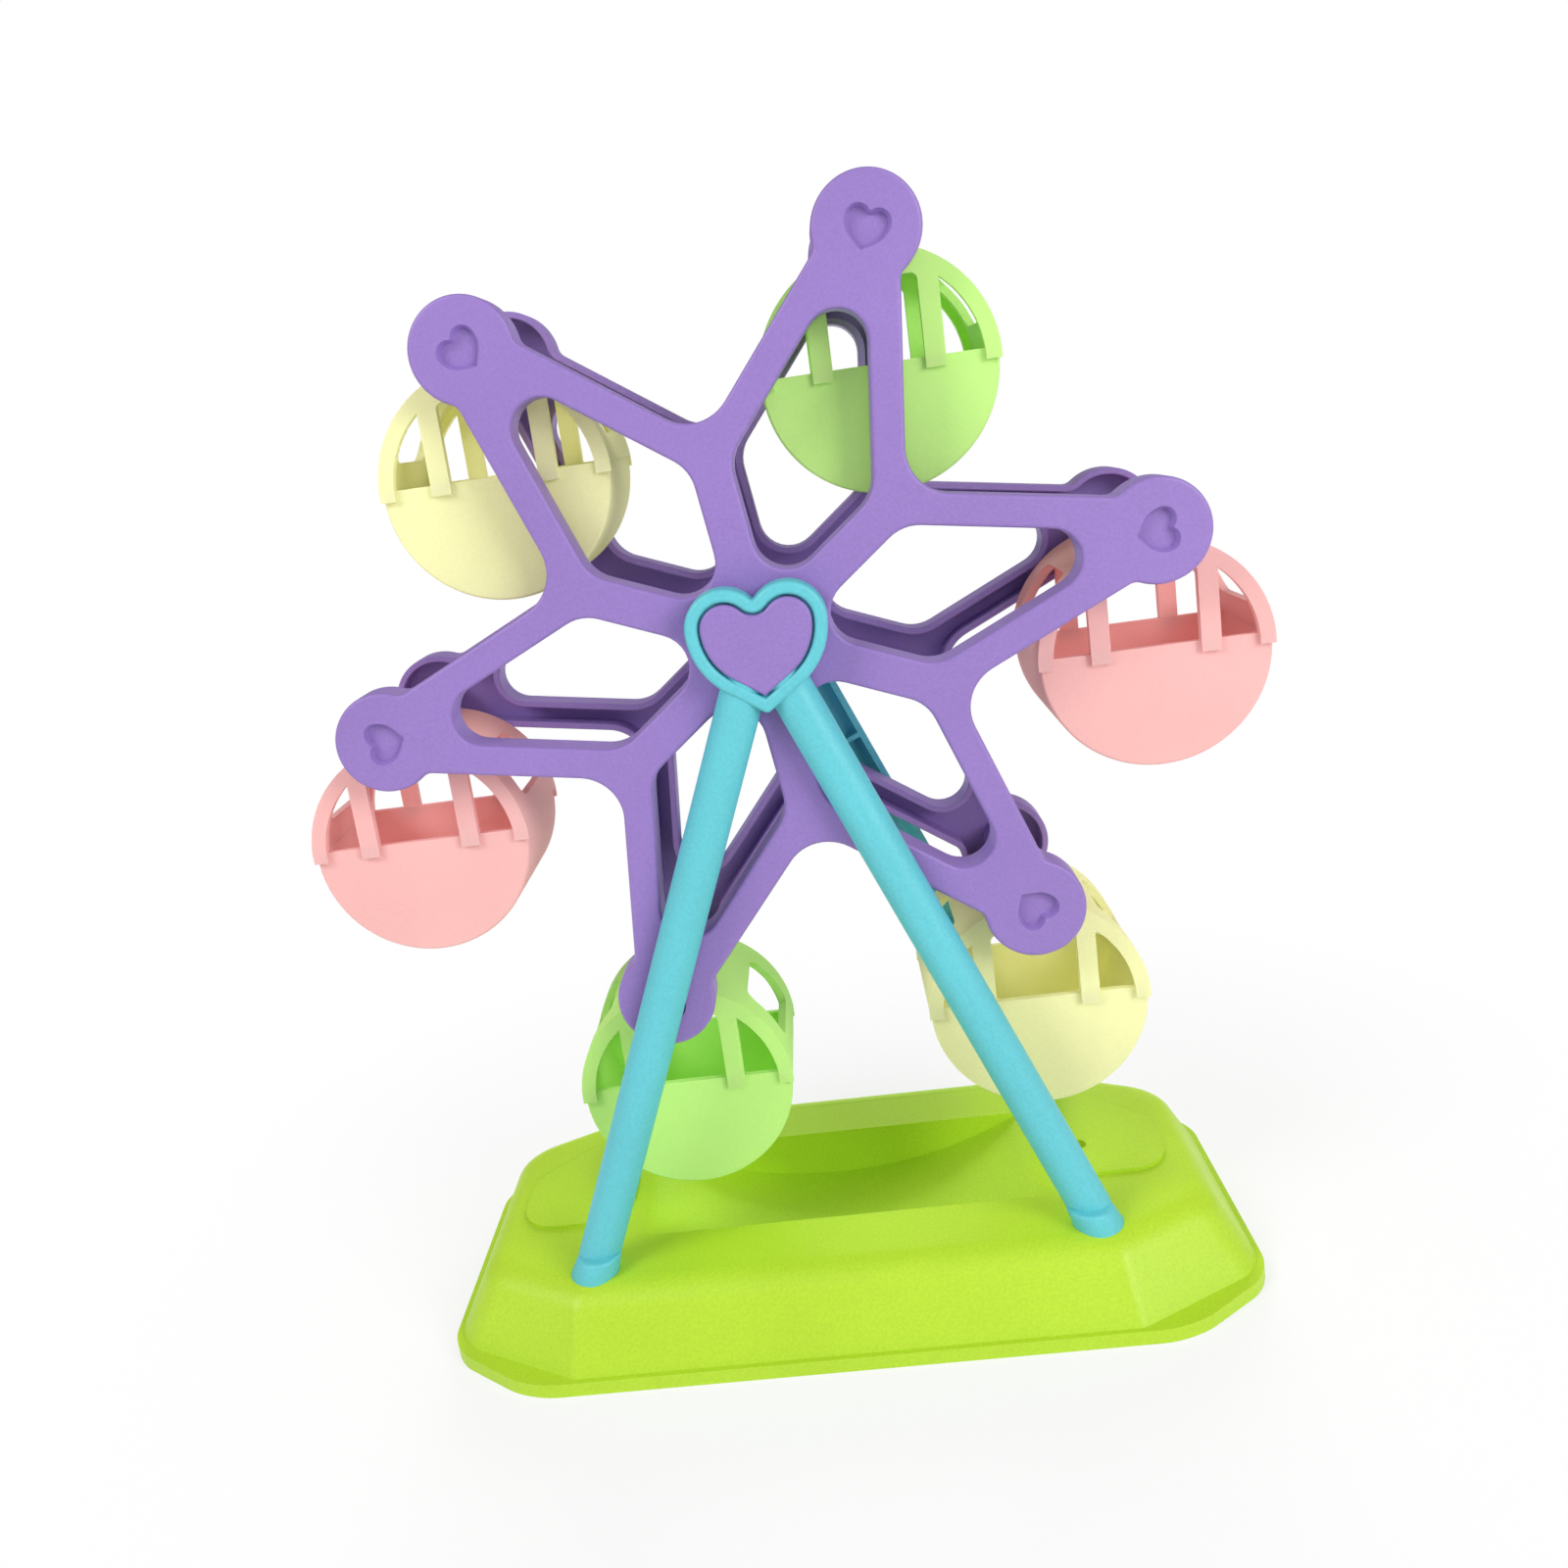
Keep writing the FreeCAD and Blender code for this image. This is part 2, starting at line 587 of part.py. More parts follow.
def make_base():
    """The moulded base: lip, sloped walls, trough, pads, sockets, and ribs in its open underside."""
    body = new_body("base_shell")
    lip = eight_sided(size.base_length / 2, size.base_width / 2, size.lip_corner_x, size.lip_corner_y)
    pad(body, sketch(body, "XY_Plane", "lip", lip), "lip_height")

    low = sketch(body, "XY_Plane", "wall_foot", base_sides(0, 0), "lip_height")
    high = sketch(body, "XY_Plane", "wall_top", base_sides(0, 1), "base_height")
    walls = body.newObject("PartDesign::AdditiveLoft", "base_walls")
    walls.Profile = low
    walls.Sections = [high]
    walls.Ruled = True
    finish(body, walls)
    dress(body, "Fillet", steep_edges(body, size.base_height - size.lip_height), "base_edge_round")
    dress(body, "Fillet", edges_where(body, at_level("z", size.base_height)), "base_round")

    for side in (-1, 1):
        middle = side * size.pad_centre
        low_corner = (middle - size.pad_length / 2, -size.pad_width / 2)
        high_corner = (middle + size.pad_length / 2, size.pad_width / 2)
        shape = rounded_rectangle(low_corner, high_corner, size.pad_length / 3)
        drawing = sketch(body, "XY_Plane", f"pad_{side + 1}", shape, "base_height")
        pad(body, drawing, "pad_height")

    inner_foot = sketch(body, "XY_Plane", "hollow_foot", base_sides(size.base_wall, 0), "0")
    inner_top = sketch(body, "XY_Plane", "hollow_top", base_sides(size.base_wall, 1), "base_height-base_wall")
    hollow = body.newObject("PartDesign::SubtractiveLoft", "base_hollow")
    hollow.Profile = inner_foot
    hollow.Sections = [inner_top]
    hollow.Ruled = True
    finish(body, hollow)
    # The hollow's ceiling is rounded as the top is, less the wall, which keeps the wall even.
    ceiling = edges_where(body, at_level("z", size.base_height - size.base_wall))
    dress(body, "Fillet", ceiling, "base_round-base_wall")

    # The long ribs carry on the trough's walls as far as the hollow reaches, which the corner cuts narrow;
    # the cross ribs stand between them.
    inset = size.lip_ledge + size.base_slope + size.base_wall / 2
    inside_y = size.base_width / 2 - inset
    cut = size.base_corner - (size.base_slope + size.base_wall / 2) * (2 - math.sqrt(2))
    rib_y = "(trough_width/2+base_wall)"
    long_reach = size.base_length / 2 - inset - max(value(rib_y) - (inside_y - cut), 0)
    height = "base_height-base_wall-rib_lift"
    for count in (-1, 1):
        rib_x = f"{count}*base_rib_pitch/2"
        low, high = (f"{rib_x}-base_wall/4", f"-{rib_y}"), (f"{rib_x}+base_wall/4", rib_y)
        pad(body, block(body, "XY_Plane", f"cross_rib_{count + 1}", low, high, "rib_lift"), height)
        low, high = (f"{-long_reach}", f"{count}*{rib_y}-base_wall/4"), (f"{long_reach}", f"{count}*{rib_y}+base_wall/4")
        pad(body, block(body, "XY_Plane", f"long_rib_{count + 1}", low, high, "rib_lift"), height)

    feet = [(f"{x}*foot_spread", f"{y}*{FOOT_Y}") for x in (-1, 1) for y in (-1, 1)]
    pegs = [(f"{x}*peg_hole_place", "0") for x in (-1, 1)]
    for name, places, radius, depth in (
        ("foot", feet, "foot_radius+socket_clearance", "foot_depth"),
        ("peg", pegs, "peg_hole_radius", "peg_hole_depth"),
    ):
        bosses = [(f"{radius}+base_wall", x, y) for x, y in places]
        boss = rounds(body, "XY_Plane", f"{name}_boss", bosses, f"base_height-{depth}-base_wall")
        pad(body, boss, f"{depth}+base_wall/2")
        holes = [(radius, x, y) for x, y in places]
        hole = rounds(body, "XY_Plane", f"{name}_hole", holes, "base_height+pad_height")
        pocket(body, hole, f"{depth}+pad_height")

    tub = sketch(body, "XZ_Plane", "trough_wall", trough_edges(size.base_wall))
    pad(body, tub, "trough_width+2*base_wall", midplane=True)
    dish = sketch(body, "XZ_Plane", "trough", trough_edges())
    pocket(body, dish, "trough_width", midplane=True)


# ---------------------------------------------------------------- frames


def leg_section(inner=False):
    """A leg's section: a flat back with straight sides and a half-round crown; hollow towards the back."""
    wall = size.leg_wall
    half = size.leg_width / 2
    depth = size.leg_depth
    crown = half - 0.5
    if inner:
        half, depth, crown = half - wall, depth - wall, crown - wall
    loop = Outline((-half, 0)).line((half, 0)).line((half, depth - crown))
    loop.arc((half - crown, depth - crown), (half - crown, depth), (1, 1))
    loop.line((-half + crown, depth))
    loop.arc((-half + crown, depth - crown), (-half, depth - crown), (-1, 1))
    return loop.close()


def facing_out(edges, offset):
    """Edges flipped to point towards -Y and moved out to a distance in front of the wheel's middle."""
    moved = []
    for edge in edges:
        copy = edge.copy()
        copy.rotate(Placement(Vector(0, 0, 0), Rotation(Vector(0, 0, 1), 180)))
        copy.translate(Vector(0, -offset, 0))
        moved.append(copy)
    return moved


def make_frame(label, turn):
    """One A-frame moulding: round feet, two channel legs with cross ribs, and the heart with its bearing."""
    body = new_body(label, turn_axis="0;0;1", turn=turn)
    back = value(FRAME_BACK)
    rise = size.hub_height + size.leg_aim - size.base_height
    lean = math.degrees(math.atan2(size.foot_spread, rise))
    across, along = math.sin(math.radians(lean)), math.cos(math.radians(lean))
    start = size.foot_rise / along - size.leg_start
    inner_start = size.foot_rise / along + size.leg_wall
    end = math.hypot(size.foot_spread, rise) - size.leg_end
    rib_count = int((end - inner_start - size.leg_rib_pitch / 2) // size.leg_rib_pitch) + 1

    for side, name in ((-1, "left"), (1, "right")):
        stub = [("foot_radius", f"{side}*foot_spread", f"-{FOOT_Y}")]
        foot = rounds(body, "XY_Plane", f"{name}_foot", stub, "base_height-foot_depth")
        pad(body, foot, "foot_depth+foot_rise")
        shoulder = edges_where(body, at_level("z", size.base_height + size.foot_rise))
        dress(body, "Fillet", shoulder, "foot_round")

    skin = facing_out(leg_section(), back)
    hollow = facing_out(leg_section(inner=True), back)
    for side, name in ((-1, "left"), (1, "right")):
        tilt = str(-side * lean)

        def leg_sketch(part, section, distance):
            """A section of this leg, at a distance up the leg from the foot's centre in the top face."""
            x = f"{side}*(foot_spread-{distance * across})"
            return sketch(body, "XY_Plane", f"{name}_{part}", section, f"base_height+{distance * along}", x, tilt)

        pad(body, leg_sketch("leg", skin, start), str(end - start))
        pocket(body, leg_sketch("channel", hollow, inner_start), str(end - inner_start), reverse=True)
        ribs = leg_sketch("rib", hollow, inner_start + size.leg_rib_pitch / 2)
        rib = pad(body, ribs, "leg_rib")
        linear(body, rib, ribs, f"leg_rib_pitch*{rib_count - 1}", rib_count)

    outline = sketch(body, "XZ_Plane", "heart", shifted(heart(), size.hub_height), FRAME_BACK)
    pad(body, outline, "heart_depth")
    recess = shifted(heart(size.heart_ring), size.hub_height)
    recess_drawing = sketch(body, "XZ_Plane", "recess", recess, f"{FRAME_BACK}+heart_depth")
    pocket(body, recess_drawing, "recess_depth")
    ring = edges_where(body, at_level("y", -back - size.heart_depth))
    dress(body, "Fillet", ring, "heart_ring_round")
    bore = [("axle_radius+bearing_clearance", "0", "hub_height")]
    pocket(body, rounds(body, "XZ_Plane", "bearing", bore, f"{FRAME_BACK}+heart_depth"), "heart_depth+leg_depth")


def shifted(edges, up):
    """Edges moved up in their sketch."""
    moved = []
    for edge in edges:
        copy = edge.copy()
        copy.translate(Vector(0, up, 0))
        moved.append(copy)
    return moved


def make_heart_cap():
    """The heart that closes the front bearing, a flat back with a rounded front edge."""
    body = new_body("front_heart_cap", z="hub_height")
    floor = f"{FRAME_BACK}+heart_depth-recess_depth"
    drawing = sketch(body, "XZ_Plane", "cap", heart(size.heart_ring + size.cap_gap), floor)
    pad(body, drawing, "cap_height")
    rim = edges_where(body, at_level("y", -value(f"{floor}+cap_height")))
    dress(body, "Fillet", rim, "cap_round")


# ---------------------------------------------------------------- wheel


def make_star(label, turn):
    """One star moulding, its face at -Y: bevelled face, channels, bosses, pin sockets and tip hearts."""
    where = "placement(vector(0;0;hub_height);rotation(vector(0;1;0);tip_turn))"
    flip = f"placement(vector(0;0;0);rotation(vector(0;0;1);{turn}))"
    body = new_body(label)
    body.setExpression("Placement", cells(f"{where}*{flip}"))
    outline = star_outline()
    windows = [edge for count in range(TIP_COUNT) for edge in star_window(count)]
    plate = sketch(body, "XZ_Plane", "plate", outline + windows, "star_gap/2")
    pad(body, plate, "star_depth")
    front = -size.star_gap / 2 - size.star_depth
    dress(body, "Chamfer", edges_where(body, at_level("y", front)), "star_bevel")

    channel = star_outline(size.star_wall)
    islands = [edge for count in range(TIP_COUNT) for edge in star_window(count, size.star_wall)]
    channel_drawing = sketch(body, "XZ_Plane", "channel", channel + islands, "star_gap/2")
    pocket(body, channel_drawing, "star_depth-star_face", reverse=True)

    hub = rounds(body, "XZ_Plane", "hub_boss", [("hub_boss_radius", "0", "0")], "star_gap/2")
    pad(body, hub, "star_depth-star_face/2")
    boss = rounds(body, "XZ_Plane", "tip_boss", [("tip_boss_radius", "0", "pivot_radius")], "star_gap/2")
    polar(body, pad(body, boss, "star_depth-star_face/2"), "Y_Axis", TIP_COUNT)
    floor = heart(-size.star_wall / 2, size.tip_heart_scale)
    backing = sketch(body, "XZ_Plane", "heart_backing", shifted(floor, size.pivot_radius),
                     "star_gap/2+star_depth-tip_heart_depth-tip_heart_floor")
    polar(body, pad(body, backing, "tip_heart_floor+tip_heart_depth-star_face/2"), "Y_Axis", TIP_COUNT)
    mark = shifted(heart(0, size.tip_heart_scale), size.pivot_radius)
    mark_drawing = sketch(body, "XZ_Plane", "tip_heart", mark, "star_gap/2+star_depth")
    polar(body, pocket(body, mark_drawing, "tip_heart_depth"), "Y_Axis", TIP_COUNT)
    hole = [("pin_radius+pin_clearance", "0", "pivot_radius")]
    socket = rounds(body, "XZ_Plane", "pin_socket", hole, "star_gap/2")
    polar(body, pocket(body, socket, "pin_depth+pin_clearance", reverse=True), "Y_Axis", TIP_COUNT)
    keyed = sketch(body, "XZ_Plane", "axle_bore", keyed_circle(size.fit_clearance), "star_gap/2")
    pocket(body, keyed, "star_depth+star_face", reverse=True)


def keyed_circle(clearance=0.0):
    """The axle's section, a circle with one flat towards +Z, grown by a clearance."""
    radius = size.axle_radius + clearance
    flat = size.axle_flat + clearance
    reach = math.sqrt(radius**2 - flat**2)
    return Outline((-reach, flat)).arc((0, 0), (reach, flat), (0, -1)).close()


def make_axle():
    """The axle: keyed by a flat from the front star to the crank, round in the frames' bearings."""
    body = new_body("wheel_axle", z="hub_height", turn="tip_turn")
    front = f"{FRAME_BACK}+heart_depth-recess_depth-axle_end_gap"
    rear = f"{FRAME_BACK}+heart_depth-recess_depth+crank_seat_gap+axle_grip"
    drawing = sketch(body, "XZ_Plane", "rod", keyed_circle(), front)
    pad(body, drawing, f"{front}+{rear}", reverse=True)
    pilot = rounds(body, "XZ_Plane", "pilot", [("screw_radius+screw_clearance", "0", "0")], f"-({rear})")
    pocket(body, pilot, "screw_length", reverse=True)


def make_spacer():
    """The tube between the two stars' hubs."""
    body = new_body("hub_spacer", z="hub_height")
    bore = "axle_radius+bearing_clearance"
    ring = [(f"{bore}+spacer_wall", "0", "0"), (bore, "0", "0")]
    pad(body, rounds(body, "XZ_Plane", "tube", ring), "star_gap", midplane=True)


def make_pin(count):
    """A rod between two tips, on which a gondola hangs."""
    angle = math.radians(size.tip_turn + 360 / TIP_COUNT * count)
    body = new_body(
        f"hanger_pin_{count + 1}",
        x=f"pivot_radius*{math.sin(angle)}",
        z=f"hub_height+pivot_radius*{math.cos(angle)}",
    )
    rod = rounds(body, "XZ_Plane", "rod", [("pin_radius", "0", "0")])
    pad(body, rod, "star_gap+2*pin_depth", midplane=True)


# ---------------------------------------------------------------- gondolas


def gondola_place(count):
    """The centre of a gondola that hangs plumb from its pin, as formulas for x and z."""
    angle = math.radians(size.tip_turn + 360 / TIP_COUNT * count)
    return f"pivot_radius*{math.sin(angle)}", f"hub_height+pivot_radius*{math.cos(angle)}-gondola_drop"


def at_rim(radius):
    """Half the width of a circle about the gondola's centre at the level of the tub's rim."""
    return math.sqrt(radius**2 - size.rim_rise**2)


def below_rim(radius):
    """The part of a disc below the level of the tub's rim."""
    reach, rim = at_rim(radius), size.rim_rise
    return Outline((-reach, rim)).arc((0, 0), (reach, rim), (0, -1)).close()


def make_tub(count):
    """The lower half of a gondola: a drum with solid ends, open above its rim."""
    x, z = gondola_place(count)
    body = new_body(f"gondola_tub_{count + 1}", x=x, z=z)
    pad(body, sketch(body, "XZ_Plane", "drum", below_rim(size.tub_radius)), "tub_depth", midplane=True)
    face = size.tub_depth / 2
    rims = edges_where(body, lambda point: abs(abs(point.y) - face) < 1e-4)
    curved = [name for name in rims if body.Tip.Shape.Edges[int(name[4:]) - 1].Curve.TypeId == "Part::GeomCircle"]
    dress(body, "Fillet", curved, "tub_round")
    inside = sketch(body, "XZ_Plane", "inside", below_rim(size.tub_radius - size.tub_wall))
    pocket(body, inside, "tub_depth-2*tub_wall", midplane=True)


def cage_face():
    """A cage's face: an arch, two posts and a solid crown, open at the bottom into three windows."""
    outer = size.cage_radius
    inner = outer - size.cage_band
    out, into = size.post_place + size.post_width / 2, size.post_place - size.post_width / 2
    window_top = math.sqrt(inner**2 - out**2)
    soft = 1.5
    rim = size.rim_rise
    way = math.atan2(window_top, out) / 2
    loop = Outline((at_rim(outer), rim)).arc((0, 0), (-at_rim(outer), rim), (0, 1)).line((-at_rim(inner), rim))
    loop.arc((0, 0), (-out, window_top), (-math.cos(way), math.sin(way))).line((-out, rim)).line((-into, rim))
    loop.line((-into, size.window_crown - soft))
    loop.arc((-into + soft, size.window_crown - soft), (-into + soft, size.window_crown), (-1, 1))
    loop.line((into - soft, size.window_crown))
    loop.arc((into - soft, size.window_crown - soft), (into, size.window_crown - soft), (1, 1))
    loop.line((into, rim)).line((out, rim)).line((out, window_top))
    loop.arc((0, 0), (at_rim(inner), rim), (math.cos(way), math.sin(way)))
    return loop.close()


def make_cage(count):
    """The upper half of a gondola: two windowed faces, arches, a roof, side skirts and the hanger sleeve."""
    x, z = gondola_place(count)
    body = new_body(f"gondola_cage_{count + 1}", x=x, z=z)
    outer = size.cage_radius
    inner = outer - size.cage_shell
    rim = size.rim_rise
    hoop = Outline((at_rim(outer), rim)).arc((0, 0), (-at_rim(outer), rim), (0, 1)).line((-at_rim(inner), rim))
    hoop.arc((0, 0), (at_rim(inner), rim), (0, 1))
    pad(body, sketch(body, "XZ_Plane", "hoop", hoop.close()), "tub_depth+2*cage_skin", midplane=True)
    half = size.tub_depth / 2 + size.cage_skin - size.arch_depth
    low, high = rim + size.skirt_height, outer - size.roof_drop
    opening = rounded_rectangle((-half, low), (half, high), 3.0)
    pocket(body, sketch(body, "YZ_Plane", "side_window", opening), "3*cage_radius", midplane=True)

    for side, name in ((-1, "rear"), (1, "front")):
        lift = f"{side}*(tub_depth/2+cage_skin)"
        face = sketch(body, "XZ_Plane", f"{name}_face", cage_face(), lift)
        pad(body, face, "cage_face", reverse=side > 0)
        feet = []
        toe = rim - size.foot_tab
        edge = math.sqrt(outer**2 - max(toe**2, rim**2))
        for centre, width in (
            (-size.post_place, size.post_width),
            (size.post_place, size.post_width),
            (-edge + size.cage_band / 2, size.cage_band),
            (edge - size.cage_band / 2, size.cage_band),
        ):
            feet += rectangle((centre - width / 2, toe), (centre + width / 2, rim))
        tabs = sketch(body, "XZ_Plane", f"{name}_feet", feet, lift)
        pad(body, tabs, "cage_skin", reverse=side > 0)

    sleeve = rounds(body, "XZ_Plane", "sleeve", [("sleeve_radius", "0", "gondola_drop")])
    pad(body, sleeve, "tub_depth+2*cage_skin", midplane=True)
    bore = rounds(body, "XZ_Plane", "sleeve_bore", [("pin_radius+sleeve_clearance", "0", "gondola_drop")])
    pocket(body, bore, "2*tub_depth", midplane=True)


# ---------------------------------------------------------------- crank

CRANK_SEAT = f"({FRAME_BACK}+heart_depth-recess_depth+crank_seat_gap)"
CRANK_BACK = f"({FRAME_BACK}+heart_depth+crank_gap)"


def make_crank_arm():
    """The crank's arm, hanging down from the axle: a tapered arm with a boss that reaches into the heart."""
    body = new_body("crank_arm", z="hub_height")
    hub, end = size.crank_hub_radius, size.crank_end_radius
    lean = math.asin((hub - end) / size.crank_length)
    right = (math.cos(lean), -math.sin(lean))
    low = (0, -size.crank_length)
    loop = Outline(step((0, 0), right, hub)).line(step(low, right, end))
    loop.arc(low, step(low, flipped(right), end), (0, -1)).line(step((0, 0), flipped(right), hub))
    loop.arc((0, 0), step((0, 0), right, hub), (0, 1))
    arm = sketch(body, "XZ_Plane", "arm", loop.edges, f"-{CRANK_BACK}")
    pad(body, arm, "crank_thickness", reverse=True)
    rim = edges_where(body, at_level("y", value(f"{CRANK_BACK}+crank_thickness")))
    dress(body, "Fillet", rim, "crank_round")
    boss = rounds(body, "XZ_Plane", "boss", [("crank_boss_radius", "0", "0")], f"-{CRANK_SEAT}")
    pad(body, boss, f"{CRANK_BACK}-{CRANK_SEAT}+crank_round", reverse=True)
    key = [edge.copy() for edge in keyed_circle(size.fit_clearance)]
    for edge in key:
        edge.rotate(Placement(Vector(0, 0, 0), Rotation(Vector(0, 0, 1), -size.tip_turn)))
    socket = sketch(body, "XZ_Plane", "axle_socket", key, f"-{CRANK_SEAT}")
    pocket(body, socket, "axle_grip")
    hole = rounds(body, "XZ_Plane", "screw_hole", [("screw_radius+screw_clearance", "0", "0")], f"-{CRANK_SEAT}")
    pocket(body, hole, "2*crank_thickness+axle_grip")
    face = f"-{CRANK_BACK}-crank_thickness"
    seat = rounds(body, "XZ_Plane", "screw_seat", [("screw_head_radius+screw_seat_gap", "0", "0")], face)
    pocket(body, seat, "screw_head_height", reverse=True)
    grip = [("knob_pin_radius+fit_clearance", "0", "-crank_length")]
    pocket(body, rounds(body, "XZ_Plane", "knob_pin_hole", grip, face), "knob_pin_grip", reverse=True)


def make_crank_screw():
    """The pan-head screw that holds the crank on the axle."""
    body = new_body("crank_screw", z="hub_height")
    top = f"-({CRANK_BACK}+crank_thickness)"
    head = rounds(body, "XZ_Plane", "head", [("screw_head_radius", "0", "0")], top)
    pad(body, head, "screw_head_height")
    shank = rounds(body, "XZ_Plane", "shank", [("screw_radius", "0", "0")], f"{top}+screw_head_height")
    pad(body, shank, "screw_length")


def make_knob():
    """The knob: a waisted grip turned about its pin, with a recess for the pin's head."""
    body = new_body("crank_knob", y=f"{CRANK_BACK}+crank_thickness+knob_gap", z="hub_height-crank_length")
    bore = size.knob_pin_radius + size.knob_clearance
    recess = size.knob_pin_head + CLEAR
    full, waist, length = size.knob_radius, size.knob_waist, size.knob_length
    soft = 1.2
    middle = length * 0.45
    loop = Outline((bore, 0)).line((full - soft, 0)).arc((full - soft, soft), (full, soft), (1, -1))
    dip = full - waist
    radius = (middle**2 / 4 + dip**2) / (2 * dip)
    low, high = middle - middle / 2, middle + middle / 2
    loop.line((full, low)).arc((waist + radius, middle), (full, high), (-1, 0))
    loop.line((full, length - soft)).arc((full - soft, length - soft), (full - soft, length), (1, 1))
    loop.line((recess, length)).line((recess, length - size.knob_recess))
    loop.line((bore, length - size.knob_recess))
    # The section is drawn radius by length, and turned about the pin's line along Y.
    drawing = sketch(body, "XY_Plane", "section", loop.close())
    grip = body.newObject("PartDesign::Revolution", "crank_knob_turned")
    grip.Profile = drawing
    grip.ReferenceAxis = (plane_of(body, "Y_Axis"), [""])
    grip.Angle = 360
    finish(body, grip)


def make_knob_pin():
    """The headed pin that the knob turns on."""
    body = new_body("knob_pin", y=f"{CRANK_BACK}+crank_thickness", z="hub_height-crank_length")
    reach = "knob_gap+knob_length-knob_recess+knob_clearance"
    rod = rounds(body, "XZ_Plane", "rod", [("knob_pin_radius", "0", "0")], "knob_pin_grip-knob_clearance")
    pad(body, rod, f"{reach}+knob_pin_grip-knob_clearance", reverse=True)
    head = rounds(body, "XZ_Plane", "head", [("knob_pin_head", "0", "0")], f"-({reach})")
    pad(body, head, "knob_pin_head_height", reverse=True)


# ---------------------------------------------------------------- whole toy


def check_and_export():
    """Stops on any failed object or bad shape, then writes one STEP file for each body."""
    doc.recompute()
    for item in doc.Objects:
        if "Invalid" in item.State or "Error" in item.State:
            raise RuntimeError(f"{item.Label} failed: {item.State}")
    bodies = [item for item in doc.Objects if item.TypeId == "PartDesign::Body"]
    for body in bodies:
        if body.Shape.isNull() or not body.Shape.isValid() or len(body.Shape.Solids) != 1:
            raise RuntimeError(f"{body.Label} has no single valid solid")
    for body in bodies:
        body.Shape.exportStep(f"parts/{body.Label}.step")
        box = body.Shape.BoundBox
        print(f"{body.Label}: {body.Shape.Volume / 1000:.2f} cm3, Z {box.ZMin:.2f} to {box.ZMax:.2f}")


make_base()
make_frame("front_frame", "0")
make_frame("rear_frame", "180")
make_heart_cap()
make_star("front_star", "0")
make_star("rear_star", "180")
make_axle()
make_spacer()
make_crank_arm()
make_crank_screw()
make_knob_pin()
make_knob()
for number in range(TIP_COUNT):
    make_pin(number)
    make_tub(number)
    make_cage(number)
check_and_export()
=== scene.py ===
"""Crank ferris wheel toy: the moulded pieces over their frame, with their finishes, stage and camera."""
import json
import math

import bmesh
import bpy
import numpy as np
from bpy.props import FloatProperty, FloatVectorProperty, PointerProperty, StringProperty
from mathutils import Matrix, Vector


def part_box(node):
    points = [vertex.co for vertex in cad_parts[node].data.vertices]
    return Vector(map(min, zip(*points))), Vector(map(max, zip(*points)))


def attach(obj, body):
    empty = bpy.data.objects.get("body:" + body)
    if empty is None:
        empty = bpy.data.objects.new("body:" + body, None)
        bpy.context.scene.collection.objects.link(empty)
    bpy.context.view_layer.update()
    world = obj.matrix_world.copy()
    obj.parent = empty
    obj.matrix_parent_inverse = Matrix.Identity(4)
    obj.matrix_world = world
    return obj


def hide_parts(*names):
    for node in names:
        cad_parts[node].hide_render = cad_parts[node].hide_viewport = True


bl_info = {
    "name": "Crank Ferris Wheel Toy",
    "version": (1, 0, 0),
    "blender": (4, 5, 0),
    "location": "View3D > Sidebar > Ferris Wheel",
    "description": "Builds the toy's moulded pieces over its frame and sets the stage",
    "category": "Object",
}

MM = 0.001
ARMS = 6
UP = 1j
GONDOLA_SLOTS = ("gondola_green", "gondola_pink", "gondola_yellow")

SAME_PLACE = 1e-9  # metres; a run that starts this near the last one's end starts at it
WELD = 2e-7  # metres; nearer points of a piece become one
LEAST_ROUND = 0.2 * MM  # the least rounding of a heart's point
HUB_HEART = (15, 10, 8, 8)  # points of a half heart's lobe, side, straight run and round point
TIP_HEART = (9, 6, 4, 5)
NOTCH_POINTS = 4
ROUND_POINTS = 6  # points of a small rounding

# The softboxes' places and widths, in metres.
SOFTBOXES = {
    "Key": ((0.80, -0.80, 0.55), 0.6),
    "Fill": ((-0.75, -0.60, 0.85), 0.5),
    "Back": ((0.10, 1.10, 0.30), 0.8),
}
TOY_MIDDLE = (0, 0, 0.14)
FLOOR_RINGS = (0, 0.3, 1.0, 4.0)
FLOOR_GAP = 0.05 * MM
WHITE = (1, 1, 1, 1)

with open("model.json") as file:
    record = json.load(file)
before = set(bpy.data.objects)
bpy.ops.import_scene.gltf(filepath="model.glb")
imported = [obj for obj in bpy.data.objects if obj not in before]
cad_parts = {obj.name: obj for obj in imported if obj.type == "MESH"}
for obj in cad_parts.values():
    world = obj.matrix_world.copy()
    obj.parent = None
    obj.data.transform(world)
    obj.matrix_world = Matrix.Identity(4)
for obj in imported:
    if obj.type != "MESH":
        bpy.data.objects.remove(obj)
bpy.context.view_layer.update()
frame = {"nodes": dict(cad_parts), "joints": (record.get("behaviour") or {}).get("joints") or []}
JOINTS = {joint["name"]: joint for joint in frame["joints"]}


def size(label, text, default):
    """A length property in metres, with its default given in millimetres."""
    return FloatProperty(name=label, description=text, default=default * MM, unit="LENGTH", precision=5)


def number(label, text, default, unit="NONE"):
    """A number property: plain, in watts for a power, or in radians for a turn."""
    return FloatProperty(name=label, description=text, default=default, unit=unit)


def colour(label, text, default):
    """A colour property as an sRGB hex value."""
    return StringProperty(name=label, description=text, default=default)


# Sizes and colours


